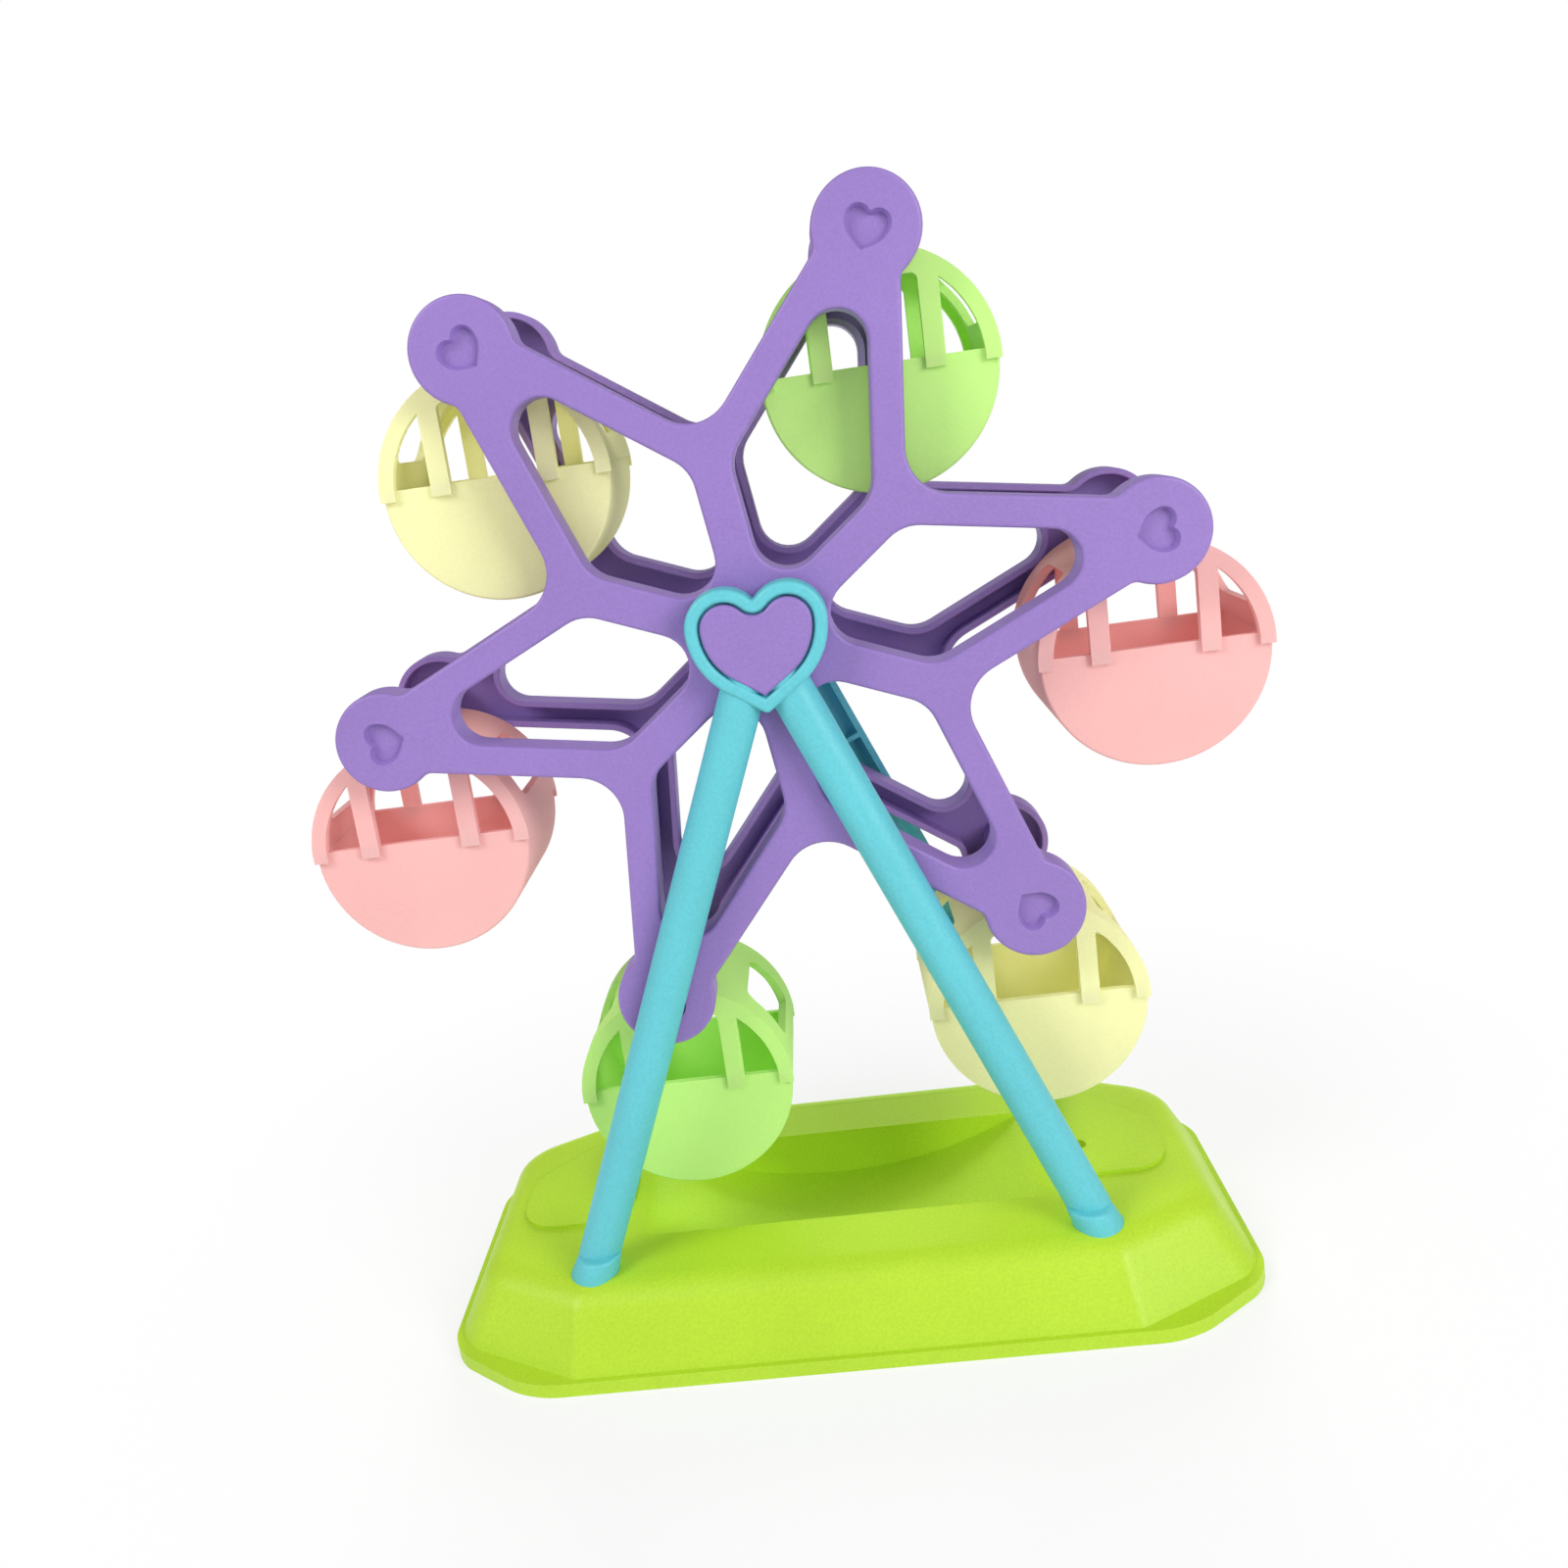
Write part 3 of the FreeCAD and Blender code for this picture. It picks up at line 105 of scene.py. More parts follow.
class FERRIS_PG_star(bpy.types.PropertyGroup):
    """Sizes of a star wheel."""

    tip_radius: size("Tip radius", "Radius of an arm's round tip", 11.5)
    arm_edge: size("Arm edge", "Distance from the pin to the line of the arm's edge", 6.8)
    neck_round: size("Neck round", "Inner rounding between arm and tip", 3.0)
    notch_reach: size("Notch reach", "Distance from the hub to the notch between arms", 48.4)
    notch_round: size("Notch round", "Inner rounding of the notch between arms", 10.0)
    bar_width: size("Bar width", "Width of an arm's bar", 7.0)
    spoke_width: size("Spoke width", "Width of a spoke", 8.9)
    window_tip: size("Window tip", "Rounding of a window at the tip end", 6.7)
    window_side: size("Window side", "Rounding of a window at its sides", 9.0)
    window_hub: size("Window hub", "Rounding of a window at the hub end", 7.5)
    face: size("Face", "Thickness of the face", 2.0)
    wall: size("Wall", "Thickness of the channel walls", 1.6)
    bevel: size("Bevel", "Bevel round the face", 1.0)
    hub_boss: size("Hub boss", "Radius of the hub boss", 8.0)
    tip_boss: size("Tip boss", "Radius of the boss round a pin socket", 4.6)
    pin_radius: size("Pin radius", "Radius of a hanger pin", 2.0)
    pin_gap: size("Pin gap", "Gap round a pin in its socket", 0.03)
    pin_depth: size("Pin depth", "How deep a pin sits in a tip", 4.4)
    bore: size("Bore", "Radius of the hole for the axle", 3.0)
    heart_depth: size("Heart depth", "Depth of a tip heart", 3.0)


class FERRIS_PG_heart(bpy.types.PropertyGroup):
    """Sizes of the heart-shaped hub."""

    half_width: size("Half width", "Half the width of the heart", 15.45)
    top: size("Top", "Height of the lobes above the axle", 13.1)
    tip: size("Point", "Depth of the point below the axle", 15.1)
    lobe: size("Lobe", "Radius of the lobes", 8.6)
    side: size("Side", "Radius of the sides", 17.0)
    notch_round: size("Notch round", "Rounding of the notch", 0.5)
    point_round: size("Point round", "Rounding of the point", 1.2)
    ring: size("Ring", "Width of the ring round the cap", 2.85)
    ring_round: size("Ring round", "Rounding of the ring", 1.1)
    depth: size("Depth", "Depth of the heart, back to crown", 6.3)
    bore: size("Bore", "Radius of the bearing for the axle", 3.06)
    recess: size("Recess", "Depth of the recess", 2.2)
    cap_round: size("Cap round", "Rounding of the cap", 0.8)
    gap: size("Gap", "Gap round the cap", 0.5)
    tip_scale: number("Tip heart", "Tip heart as a share of the hub heart", 0.32)


# Plane outlines, as complex numbers


def arc(centre, radius, start, end, count):
    """Points of an arc: centre plus radius times the unit direction, at even angles in degrees."""
    return centre + radius * np.exp(1j * np.radians(np.linspace(start, end, count)))


def directions(count):
    """Unit directions all the way round, at even angles."""
    return np.exp(1j * np.linspace(0, 2 * math.pi, count, endpoint=False))


def join(*runs):
    """One path from several runs, where a run that starts at the last end gives up its first point."""
    path = np.asarray(runs[0])
    for run in runs[1:]:
        run = np.asarray(run)
        path = np.concatenate([path, run[1:] if abs(run[0] - path[-1]) < SAME_PLACE else run])
    return path


def mirrored_loop(half):
    """A closed loop from its right half, which runs from the upright axis back to it."""
    return np.concatenate([half, -half[::-1].conj()[1:-1]])


def heart_half(heart, inset, counts, scale=1.0):
    """The right half of a heart about the axle, from the notch to the point.

    A lobe's arc, a flatter arc tangent to it, a straight run tangent to that, and a round point. An inset
    shrinks the radii about the same centres, and rounds the notch about the lobes' meeting place.
    """
    lobe, side = heart.lobe * scale, heart.side * scale
    lobe_centre = complex(heart.half_width - heart.lobe, heart.top - heart.lobe) * scale
    side_centre = complex((heart.half_width - heart.side) * scale, lobe_centre.imag)
    drop = lobe_centre.imag + heart.tip * scale
    lean = math.asin(side / math.hypot(side_centre.real, drop)) + math.atan2(side_centre.real, drop)
    point = max(heart.point_round * scale - inset, LEAST_ROUND)
    point_centre = 1j * (-heart.tip * scale + (inset + point) / math.sin(lean))
    notch = heart.notch_round * scale
    rise = math.sqrt((lobe + notch) ** 2 - lobe_centre.real**2)
    notch_centre = 1j * (lobe_centre.imag + rise)
    meeting = math.degrees(math.atan2(rise, -lobe_centre.real))
    down = -math.degrees(lean)
    run_start = side_centre + (side - inset) * np.exp(-1j * lean)
    run_end = point_centre + point * np.exp(-1j * lean)
    lobe_count, side_count, run_count, point_count = counts
    return join(
        arc(notch_centre, notch + inset, -90, meeting - 180, NOTCH_POINTS),
        arc(lobe_centre, lobe - inset, meeting, 0, lobe_count),
        arc(side_centre, side - inset, 0, down, side_count),
        np.linspace(run_start, run_end, run_count),
        arc(point_centre, point, down, -90, point_count),
    )


def heart_loops(heart, profile):
    """The loops and levels of the hub heart's edge as it carries a profile of inset + i level."""
    loops = [mirrored_loop(heart_half(heart, inset, HUB_HEART)) for inset in profile.real]
    return loops, list(profile.imag)


class Star:
    """The plane outlines of a star wheel about its hub, with one arm upright."""

    def __init__(self, sizes, reach):
        self.sizes = sizes
        self.pin = reach * UP
        half_step = math.pi / ARMS
        self.notch = (sizes.notch_reach + sizes.notch_round) * np.exp(1j * (math.pi / 2 - half_step))
        gap = self.notch - self.pin
        lean = math.atan2(gap.real, -gap.imag) - math.asin((sizes.arm_edge + sizes.notch_round) / abs(gap))
        self.lean = math.degrees(lean)
        self.out = np.exp(1j * lean)
        self.spoke_out = np.exp(-1j * half_step)
        neck_side = sizes.arm_edge + sizes.neck_round
        neck_along = math.sqrt((sizes.tip_radius + sizes.neck_round) ** 2 - neck_side**2)
        self.neck = self.pin + neck_side * self.out - 1j * neck_along * self.out
        self.neck_turn = math.degrees(np.angle(self.neck - self.pin))
        bar, spoke = sizes.arm_edge - sizes.bar_width, -sizes.spoke_width / 2
        self.window_tip = self.pin + 1j * (bar - sizes.window_tip) / self.out.imag
        self.window_hub = 1j * (sizes.window_hub - spoke) / math.sin(half_step)
        normals = np.array([[self.out.real, self.out.imag], [self.spoke_out.real, self.spoke_out.imag]])
        offsets = [bar - sizes.window_side + self.out.imag * self.pin.imag, spoke - sizes.window_side]
        self.window_side = complex(*np.linalg.solve(normals, offsets))

    def edge_half(self, inset=0.0):
        """From an arm's tip to the notch: tip arc, neck arc, straight bar beside the window, notch arc."""
        sizes = self.sizes
        tip = arc(self.pin, sizes.tip_radius - inset, 90, self.neck_turn, 24)
        neck = arc(self.neck, sizes.neck_round + inset, self.neck_turn + 180, self.lean + 180, 6)
        notch = arc(self.notch, sizes.notch_round + inset, self.lean + 180, 240, 7)
        along = -1j * self.out
        beside = neck[-1] + along * ((self.window_tip - neck[-1]) * along.conjugate()).real
        return join(tip, neck, np.linspace(neck[-1], beside, 8), np.linspace(beside, notch[0], 6), notch)

    def window_half(self, outset=0.0):
        """The right half of an arm's window from tip end to hub end: three arcs joined by straight edges."""
        sizes = self.sizes
        tip = arc(self.window_tip, sizes.window_tip + outset, 90, self.lean, 8)
        side = arc(self.window_side, sizes.window_side + outset, self.lean, -30, 7)
        hub = arc(self.window_hub, sizes.window_hub + outset, -30, -90, 6)
        return join(tip, np.linspace(tip[-1], side[0], 6), side, np.linspace(side[-1], hub[0], 6), hub)

    def outer_half(self, inset):
        """One side of a half arm's flat: the edge, then the spoke's middle line and the bore's arc."""
        edge = self.edge_half(inset)
        ray = np.exp(1j * math.pi / 3)
        beside = ray * (self.window_hub * ray.conjugate()).real
        return join(
            edge,
            np.linspace(edge[-1], beside, 6),
            np.linspace(beside, self.sizes.bore * ray, 6),
            arc(0, self.sizes.bore, 60, 90, 5),
        )

    def inner_half(self, outset, tip_run):
        """The other side of it: a run in the tip, then the arm's axis, the window and the axis again.

        Each run has as many points as the run of the outer half that it faces.
        """
        window = self.window_half(outset)
        return join(
            tip_run,
            np.linspace(tip_run[-1], window[0], 6),
            window,
            np.linspace(window[-1], self.sizes.bore * UP, 5),
        )


# Surfaces


def patch(grid, closed_columns=False):
    """The points and four-sided faces of a rows by columns grid of places."""
    rows, columns = grid.shape[:2]
    index = np.arange(rows * columns).reshape(rows, columns)
    if closed_columns:
        index = np.hstack([index, index[:, :1]])
    faces = np.stack([index[:-1, :-1], index[1:, :-1], index[1:, 1:], index[:-1, 1:]], axis=-1)
    return grid.reshape(-1, 3), faces.reshape(-1, 4)


def raised(plane, level):
    """Points (x, y, z) from plane points x + iz, at a level along Y."""
    plane = np.asarray(plane)
    return np.stack([plane.real, np.broadcast_to(level, plane.shape), plane.imag], axis=-1)


def between(first, second, level):
    """A flat strip from one path to another with as many points, at a level along Y."""
    return patch(raised(np.stack([first, second]), level))


def rings(loops, levels):
    """A surface through closed plane loops, each at its own level along Y."""
    return patch(np.stack([raised(loop, level) for loop, level in zip(loops, levels)]), closed_columns=True)


def lathe(profile, centre, count=48):
    """A solid turned about a line along Y: each profile point x + iy goes round at distance x and level y."""
    profile = np.asarray(profile)
    turn = directions(count)
    plane = profile.real[:, None] * turn[None, :] + centre
    return patch(raised(plane, profile.imag[:, None]), closed_columns=True)


def joined(*patches):
    """Several patches as one."""
    starts = np.cumsum([0] + [len(points) for points, _ in patches[:-1]])
    points = np.vstack([points for points, _ in patches])
    faces = np.vstack([faces + start for (_, faces), start in zip(patches, starts)])
    return points, faces


def placed(patches, matrix):
    """A patch moved by a 4 by 4 matrix."""
    points, faces = patches
    matrix = np.asarray(matrix)
    return points @ matrix[:3, :3].T + matrix[:3, 3], faces


def turned_about_y(degrees, place=(0, 0, 0)):
    """A turn about the axis along Y, clockwise as seen from the front, and then a move."""
    return np.asarray(Matrix.Translation(Vector(place)) @ Matrix.Rotation(math.radians(degrees), 4, "Y"))


def values_of(items, attribute, width=1, kind=float):
    """An attribute of all of a mesh's faces, edges, corners or vertices, as one array."""
    values = np.empty(len(items) * width, dtype=kind)
    items.foreach_get(attribute, values)
    return values.reshape(-1, width) if width > 1 else values


def corner_normals(mesh, smooth_angle=40):
    """Normals of a mesh's face corners, as an average of the faces round the corner's vertex.

    Only faces that lean less than the angle from the corner's own face count. Each weighs as much as the
    whole flat that it is part of, so a flat stays flat up to its rounded edges.
    """
    faces = mesh.polygons
    normal, middle = values_of(faces, "normal", 3), values_of(faces, "center", 3)
    area = values_of(faces, "area")
    face = np.repeat(np.arange(len(faces)), values_of(faces, "loop_total", kind=np.int64))
    vertex = values_of(mesh.loops, "vertex_index", kind=np.int64)

    # Faces belong to one flat where their normals and their heights along them round to the same steps.
    normal_steps, height_step = 500, 0.02 * MM
    height = (normal * middle).sum(axis=1, keepdims=True)
    plane = np.round(np.hstack([normal * normal_steps, height / height_step]))
    _, flat = np.unique(plane, axis=0, return_inverse=True)
    flat = flat.reshape(-1)
    weight = np.bincount(flat, weights=area)[flat]

    # Every corner is paired with every corner at the same vertex.
    order = np.argsort(vertex, kind="stable")
    first_place = np.searchsorted(vertex[order], vertex)
    count = np.bincount(vertex)[vertex]
    one = np.repeat(np.arange(len(vertex)), count)
    step = np.arange(len(one)) - np.repeat(np.cumsum(count) - count, count)
    other = order[first_place[one] + step]
    own, near = normal[face[one]], normal[face[other]]
    share = weight[face[other]] * ((own * near).sum(axis=1) > math.cos(math.radians(smooth_angle)))
    total = np.stack([np.bincount(one, weights=share * near[:, axis]) for axis in range(3)], axis=1)
    length = np.linalg.norm(total, axis=1, keepdims=True)
    return np.where(length > 0, total / np.maximum(length, 1e-30), normal[face])


def new_mesh(name, patches):
    """A mesh from patches: points that meet are welded, and the faces point outwards."""
    points, faces = patches
    mesh = bpy.data.meshes.new(name)
    mesh.from_pydata(points.tolist(), [], faces.tolist())
    shape = bmesh.new()
    shape.from_mesh(mesh)
    bmesh.ops.remove_doubles(shape, verts=shape.verts, dist=WELD)
    bmesh.ops.dissolve_degenerate(shape, edges=shape.edges, dist=WELD / 2)
    bmesh.ops.recalc_face_normals(shape, faces=shape.faces)
    shape.to_mesh(mesh)
    shape.free()
    if not mesh.polygons:
        raise RuntimeError(f"{name} has no faces")
    return mesh


def give_finish(mesh, slot):
    """Give a mesh the material of a record slot and no other."""
    mesh.materials.clear()
    mesh.materials.append(finish_of(slot))


def add_object(name, mesh, body, slot, replaced):
    """An object of a mesh, with its finish, that rides on a body in the place of the nodes it replaces."""
    give_finish(mesh, slot)
    piece = bpy.data.objects.new(name, mesh)
    bpy.context.scene.collection.objects.link(piece)
    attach(piece, body)
    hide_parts(*replaced)
    return piece


def add_piece(name, body, slot, patches, replaced=()):
    """One piece from patches, smooth over its rounds."""
    mesh = new_mesh(name, patches)
    mesh.shade_smooth()
    mesh.normals_split_custom_set(corner_normals(mesh).tolist())
    add_object(name, mesh, body, slot, replaced)


def hinge(name):
    """The place of a joint."""
    return Vector(JOINTS[name]["pos_m"])


def star_turn():
    """The turn of the first arm from upright, in degrees clockwise from the front, and an arm's reach."""
    arm = hinge("gondola_1_swing") - hinge("wheel_spin")
    return math.degrees(math.atan2(arm.x, arm.z)), math.hypot(arm.x, arm.z)


# Finishes


def linear(hex_colour):
    """The linear colour of an sRGB hex value."""
    channels = [int(hex_colour[at : at + 2], 16) / 255 for at in (1, 3, 5)]
    return (*[c / 12.92 if c <= 0.04045 else ((c + 0.055) / 1.055) ** 2.4 for c in channels], 1.0)


def add_node(tree, kind, settings=None, links=None, **values):
    """A shader node with its settings, its inputs' values and the sockets that feed its inputs."""
    node = tree.nodes.new("ShaderNode" + kind)
    for name, value in (settings or {}).items():
        setattr(node, name, value)
    for name, value in values.items():
        node.inputs[name.replace("_", " ")].default_value = value
    for name, socket in (links or {}).items():
        tree.links.new(socket, node.inputs[name])
    return node


def node_tree(owner):
    """The emptied node tree of a material or a world."""
    owner.use_nodes = True
    owner.node_tree.nodes.clear()
    return owner.node_tree


def noise(tree, place, width, **values):
    """A noise whose lumps are about a width across, in metres."""
    return add_node(tree, "TexNoise", links={"Vector": place}, Scale=1 / width, **values).outputs["Fac"]


def mapped(tree, value, ends, span=(0, 1), run="LINEAR"):
    """A value's span mapped onto two ends, which it keeps to beyond the span."""
    values = dict(zip(("From_Min", "From_Max", "To_Min", "To_Max"), (*span, *ends)))
    return add_node(tree, "MapRange", {"interpolation_type": run}, {"Value": value}, **values).outputs[0]


def moulded_plastic(name, hex_colour, glow, roughness, hollow_shade):
    """A plastic as it comes out of a spark-eroded steel mould.

    Its colour drifts faintly along the melt's flow, over about 40 mm, and has painted shade in the hollows of
    the mould's grain.
    That grain is about 0.1 mm, too fine to show, and is drawn at 0.7 mm. The gloss is uneven over about
    12 mm, where hands have polished the grain. Glow is the share of light that comes through the wall, and
    the painted shade's strength is how much darker the grain's hollows are painted than its tops.
    """
    material = bpy.data.materials.new(name)
    tree = node_tree(material)
    place = add_node(tree, "TexCoord").outputs["Object"]
    flow = noise(tree, place, 40 * MM, Detail=3.0)
    grain = noise(tree, place, 0.7 * MM, Detail=2.0)
    rub = noise(tree, place, 12 * MM, Detail=4.0)
    darkest, lightest = 0.95, 1.03
    ramp = add_node(tree, "ValToRGB", links={"Fac": flow})
    for element, at, share in zip(ramp.color_ramp.elements, (0.3, 0.7), (darkest, lightest)):
        element.position = at
        element.color = (*[min(channel * share, 1) for channel in linear(hex_colour)[:3]], 1)
    # Painted shade: the colour darkens where the grain, which is also the bump's height, is low, so its
    # hollows look shaded.
    grain_shade = mapped(tree, grain, (lightest - hollow_shade, lightest), (0.35, 0.65))
    tint_of = {0: ramp.outputs["Color"], "Scale": grain_shade}
    tint = add_node(tree, "VectorMath", {"operation": "SCALE"}, tint_of).outputs[0]
    gloss = mapped(tree, rub, (roughness - 0.06, roughness + 0.08))
    bump = add_node(tree, "Bump", links={"Height": grain}, Strength=0.25, Distance=0.05 * MM)
    links = {"Base Color": tint, "Roughness": gloss, "Normal": bump.outputs[0]}
    shader = add_node(tree, "BsdfPrincipled", links=links, IOR=1.49)
    through = add_node(tree, "BsdfTranslucent", links={"Color": tint})
    mix = add_node(tree, "MixShader", links={1: shader.outputs[0], 2: through.outputs[0]}, Fac=glow)
    add_node(tree, "OutputMaterial", links={"Surface": mix.outputs[0]})
    return material


def drawn_steel(name):
    """Bright drawn steel rod: a metal with fine lines along the rod, 0.2 mm apart, drawn at 0.5 mm."""
    material = bpy.data.materials.new(name)
    tree = node_tree(material)
    place = add_node(tree, "TexCoord").outputs["Object"]
    stretch = add_node(tree, "Mapping", links={"Vector": place}, Scale=(1, 0.03, 1))
    lines = noise(tree, stretch.outputs["Vector"], 0.5 * MM)
    gloss = mapped(tree, lines, (0.22, 0.40))
    bump = add_node(tree, "Bump", links={"Height": lines}, Strength=0.2, Distance=0.01 * MM)
    links = {"Roughness": gloss, "Normal": bump.outputs[0]}
    shader = add_node(tree, "BsdfPrincipled", links=links, Base_Color=linear("#b9bcc0"), Metallic=1.0)
    add_node(tree, "OutputMaterial", links={"Surface": shader.outputs[0]})
    return material


class FERRIS_PG_finish(bpy.types.PropertyGroup):
    """Colours of the plastics, as sRGB hex values."""

    base_lime: colour("Base", "Lime base", "#b8de2d")
    frame_teal: colour("Frame", "Teal frames", "#62c7d2")
    star_purple: colour("Star", "Purple star wheels", "#9478c0")
    gondola_green: colour("Green gondola", "Green gondolas", "#d4ff94")
    gondola_pink: colour("Pink gondola", "Pink gondolas", "#ffcac6")
    gondola_yellow: colour("Yellow gondola", "Yellow gondolas", "#fffdc4")


def finish_of(slot):
    """The material of a record slot, made when it is first asked for.

    The thick pieces are ABS, opaque, with a satin gloss. The gondolas are thin polypropylene, which is duller
    and lets a good part of the light through, so that they look lit from inside. The rods are steel.
    """
    if slot == "steel":
        name = "drawn_steel_rod"
    elif slot.startswith("gondola"):
        name = "moulded_polypropylene_" + slot.rpartition("_")[2]
    else:
        name = "moulded_abs_" + slot.rpartition("_")[2]
    known = bpy.data.materials.get(name)
    if known:
        return known
    if slot == "steel":
        return drawn_steel(name)
    hex_colour = getattr(bpy.context.scene.ferris_finish, slot)
    # The last value of each call is the strength of the painted shade in the grain's hollows.
    if slot.startswith("gondola"):
        return moulded_plastic(name, hex_colour, glow=0.28, roughness=0.55, hollow_shade=0.03)
    return moulded_plastic(name, hex_colour, glow=0.04, roughness=0.45, hollow_shade=0.08)


# Stars


def star_patches(sizes, heart, reach, depth):
    """A star moulding with one arm upright, its face at level -depth and its open side at level 0.

    The outer edge and each window's edge carry a profile: channel wall, rim, outer wall, bevel. Flat strips
    between an arm's outer edge and its axis or window close the face and the channels' floor.
    """
    star = Star(sizes, reach)
    floor, face, bevel, wall = -(depth - sizes.face), -depth, sizes.bevel, sizes.wall
    soft, little, much = 0.25 * MM, 0.12 * bevel, 0.42 * bevel
    profile = [
        (wall, floor),
        (wall, -soft),
        (wall - soft, 0),
        (soft, 0),
        (0, -soft),
        (0, face + bevel),
        (little, face + much),
        (much, face + little),
        (bevel, face),
    ]
    insets, levels = zip(*profile)
    arms = np.exp(-2j * math.pi / ARMS * np.arange(ARMS))

    edges = []
    for inset in insets:
        half = star.edge_half(inset)
        arm = np.concatenate([-half[::-1].conj(), half[1:]])
        edges.append(np.concatenate([arm[:-1] * turn for turn in arms]))
    made = [rings(edges, levels)]

    windows = [mirrored_loop(star.window_half(inset)) for inset in insets]
    made += [rings([loop * turn for loop in windows], levels) for turn in arms]

    # The face ends at the tip heart's lip, and the channels' floor at a plain run under the boss.
    lip, slope, past_pin = 0.18 * MM, 1.2 * MM, 4 * MM
    mark = [star.pin + heart_half(heart, inset, TIP_HEART, heart.tip_scale) for inset in (0, lip, slope)]
    plain = np.linspace(star.edge_half(wall)[0], star.pin - past_pin * UP, len(mark[0]))
    strips = [
        (star.outer_half(bevel), star.inner_half(bevel, mark[0]), face),
        (star.outer_half(wall), star.inner_half(wall, plain), floor),
    ]
    for turn in arms:
        for outer, inner, level in strips:
            for side in (outer, inner), (-outer.conj(), -inner.conj()):
                made.append(between(side[0] * turn, side[1] * turn, level))

    # Each tip heart: a rounded lip, a sloping wall, a floor and a small ejector mark in its middle.
    low = face + sizes.heart_depth
    centre = star.pin - 0.4 * MM * UP
    loops = [mirrored_loop(path) for path in mark]
    ring = (loops[-1] - centre) / abs(loops[-1] - centre)
    ejector = [(1.2 * MM, 0), (0.9 * MM, 0.2 * MM), (0.4 * MM, 0.38 * MM), (0, 0.4 * MM)]
    loops += [centre + ring * radius for radius, _ in ejector]
    heights = [face, face + lip, low] + [low - rise for _, rise in ejector]
    made += [rings([loop * turn for loop in loops], heights) for turn in arms]

    # Bosses in the channels: a plain hub, and a socket at each tip that holds a hanger pin.
    into = 1j * (floor - 0.3 * MM)
    bore, socket, end = sizes.bore, sizes.pin_radius + sizes.pin_gap, -1j * sizes.pin_depth
    made.append(lathe([bore + 1j * face, bore + 1j * floor], 0))
    made.append(lathe([bore + into, bore, sizes.hub_boss, sizes.hub_boss + into, bore + into], 0))
    boss = [end, socket + end, socket, sizes.tip_boss, sizes.tip_boss + into, into]
    made += [lathe(boss, star.pin * turn, 32) for turn in arms]
    return joined(*made)


class FERRIS_OT_stars(bpy.types.Operator):
    """Make the two purple star wheels."""

    bl_idname = "ferris.stars"
    bl_label = "Star wheels"

    def execute(self, context):
        scene = context.scene
        turn, reach = star_turn()
        for node, about_z in (("front_star", 0), ("rear_star", 180)):
            low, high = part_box(node)
            inner = high.y if about_z == 0 else -low.y
            patches = star_patches(scene.ferris_star, scene.ferris_heart, reach, high.y - low.y)
            facing = Matrix.Rotation(math.radians(about_z), 4, "Z") @ Matrix.Translation((0, inner, 0))
            moved = turned_about_y(turn, hinge("wheel_spin")) @ np.asarray(facing)
            add_piece(node + "_moulding", "wheel", "star_purple", placed(patches, moved), (node,))
        return {"FINISHED"}


# Frames and heart cap


class FERRIS_PG_frame(bpy.types.PropertyGroup):
    """Sizes of an A-frame."""

    foot_spread: size("Foot spread", "Distance of each foot from the middle", 60.7)
    foot_radius: size("Foot radius", "Radius of a foot", 6.0)
    foot_depth: size("Foot depth", "How deep a foot sits in the base", 8.0)
    foot_rise: size("Foot rise", "Height of a foot above the base", 4.6)
    foot_round: size("Foot round", "Rounding of a foot's shoulder", 0.9)
    foot_taper: size("Foot taper", "How much a foot narrows toward its shoulder", 0.5)
    leg_width: size("Leg width", "Width of a leg", 10.0)
    leg_depth: size("Leg depth", "Depth of a leg", 5.8)
    leg_wall: size("Leg wall", "Wall of a leg", 1.6)
    leg_start: size("Leg start", "Start of a leg below the foot's shoulder", 2.2)
    leg_end: size("Leg end", "End of a leg before the axle", 9.0)
    leg_aim: size("Leg aim", "Height above the axle where the legs' lines meet", 2.2)
    rib: size("Rib", "Thickness of a leg's cross rib", 1.2)
    rib_pitch: size("Rib pitch", "Distance between a leg's cross ribs", 20.0)


def heart_patches(heart):
    """The frame's heart about the axle, its back at level 0, with a recess in its front and a bore.

    One closed profile is carried round: side wall, rounded ring, recess wall and floor, bore, back.
    """
    depth, ring, turned = heart.depth, heart.ring, heart.ring_round
    soft, inner = 0.3 * MM, 0.8 * turned
    profile = join(
        [soft, -1j * soft],
        arc(complex(turned, turned - depth), turned, 180, 270, ROUND_POINTS),
        arc(complex(ring - inner, inner - depth), inner, 270, 360, ROUND_POINTS),
        [complex(ring, heart.recess - depth)],
    )
    loops, levels = heart_loops(heart, profile)
    hole = heart.bore * loops[0] / abs(loops[0])
    loops += [hole, hole, loops[0]]
    levels += [heart.recess - depth, 0, 0]
    return rings(loops, levels)


def frame_back(heart):
    """The distance of a frame's back from the wheel's middle, where the cap lies on the recess's floor."""
    cap_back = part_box("front_heart_cap")[1].y
    return -cap_back - (heart.depth - heart.recess)


def leg_section(sizes, inset):
    """Half-round section of a leg as across + i out, from back left round the crown to back right."""
    half, depth = sizes.leg_width / 2 - inset, sizes.leg_depth - inset
    flat = 0.5 * MM
    crown = half - flat
    return join(
        [-half],
        arc(complex(-flat, depth - crown), crown, 180, 90, 12),
        arc(complex(flat, depth - crown), crown, 90, 0, 12),
        [half],
    )


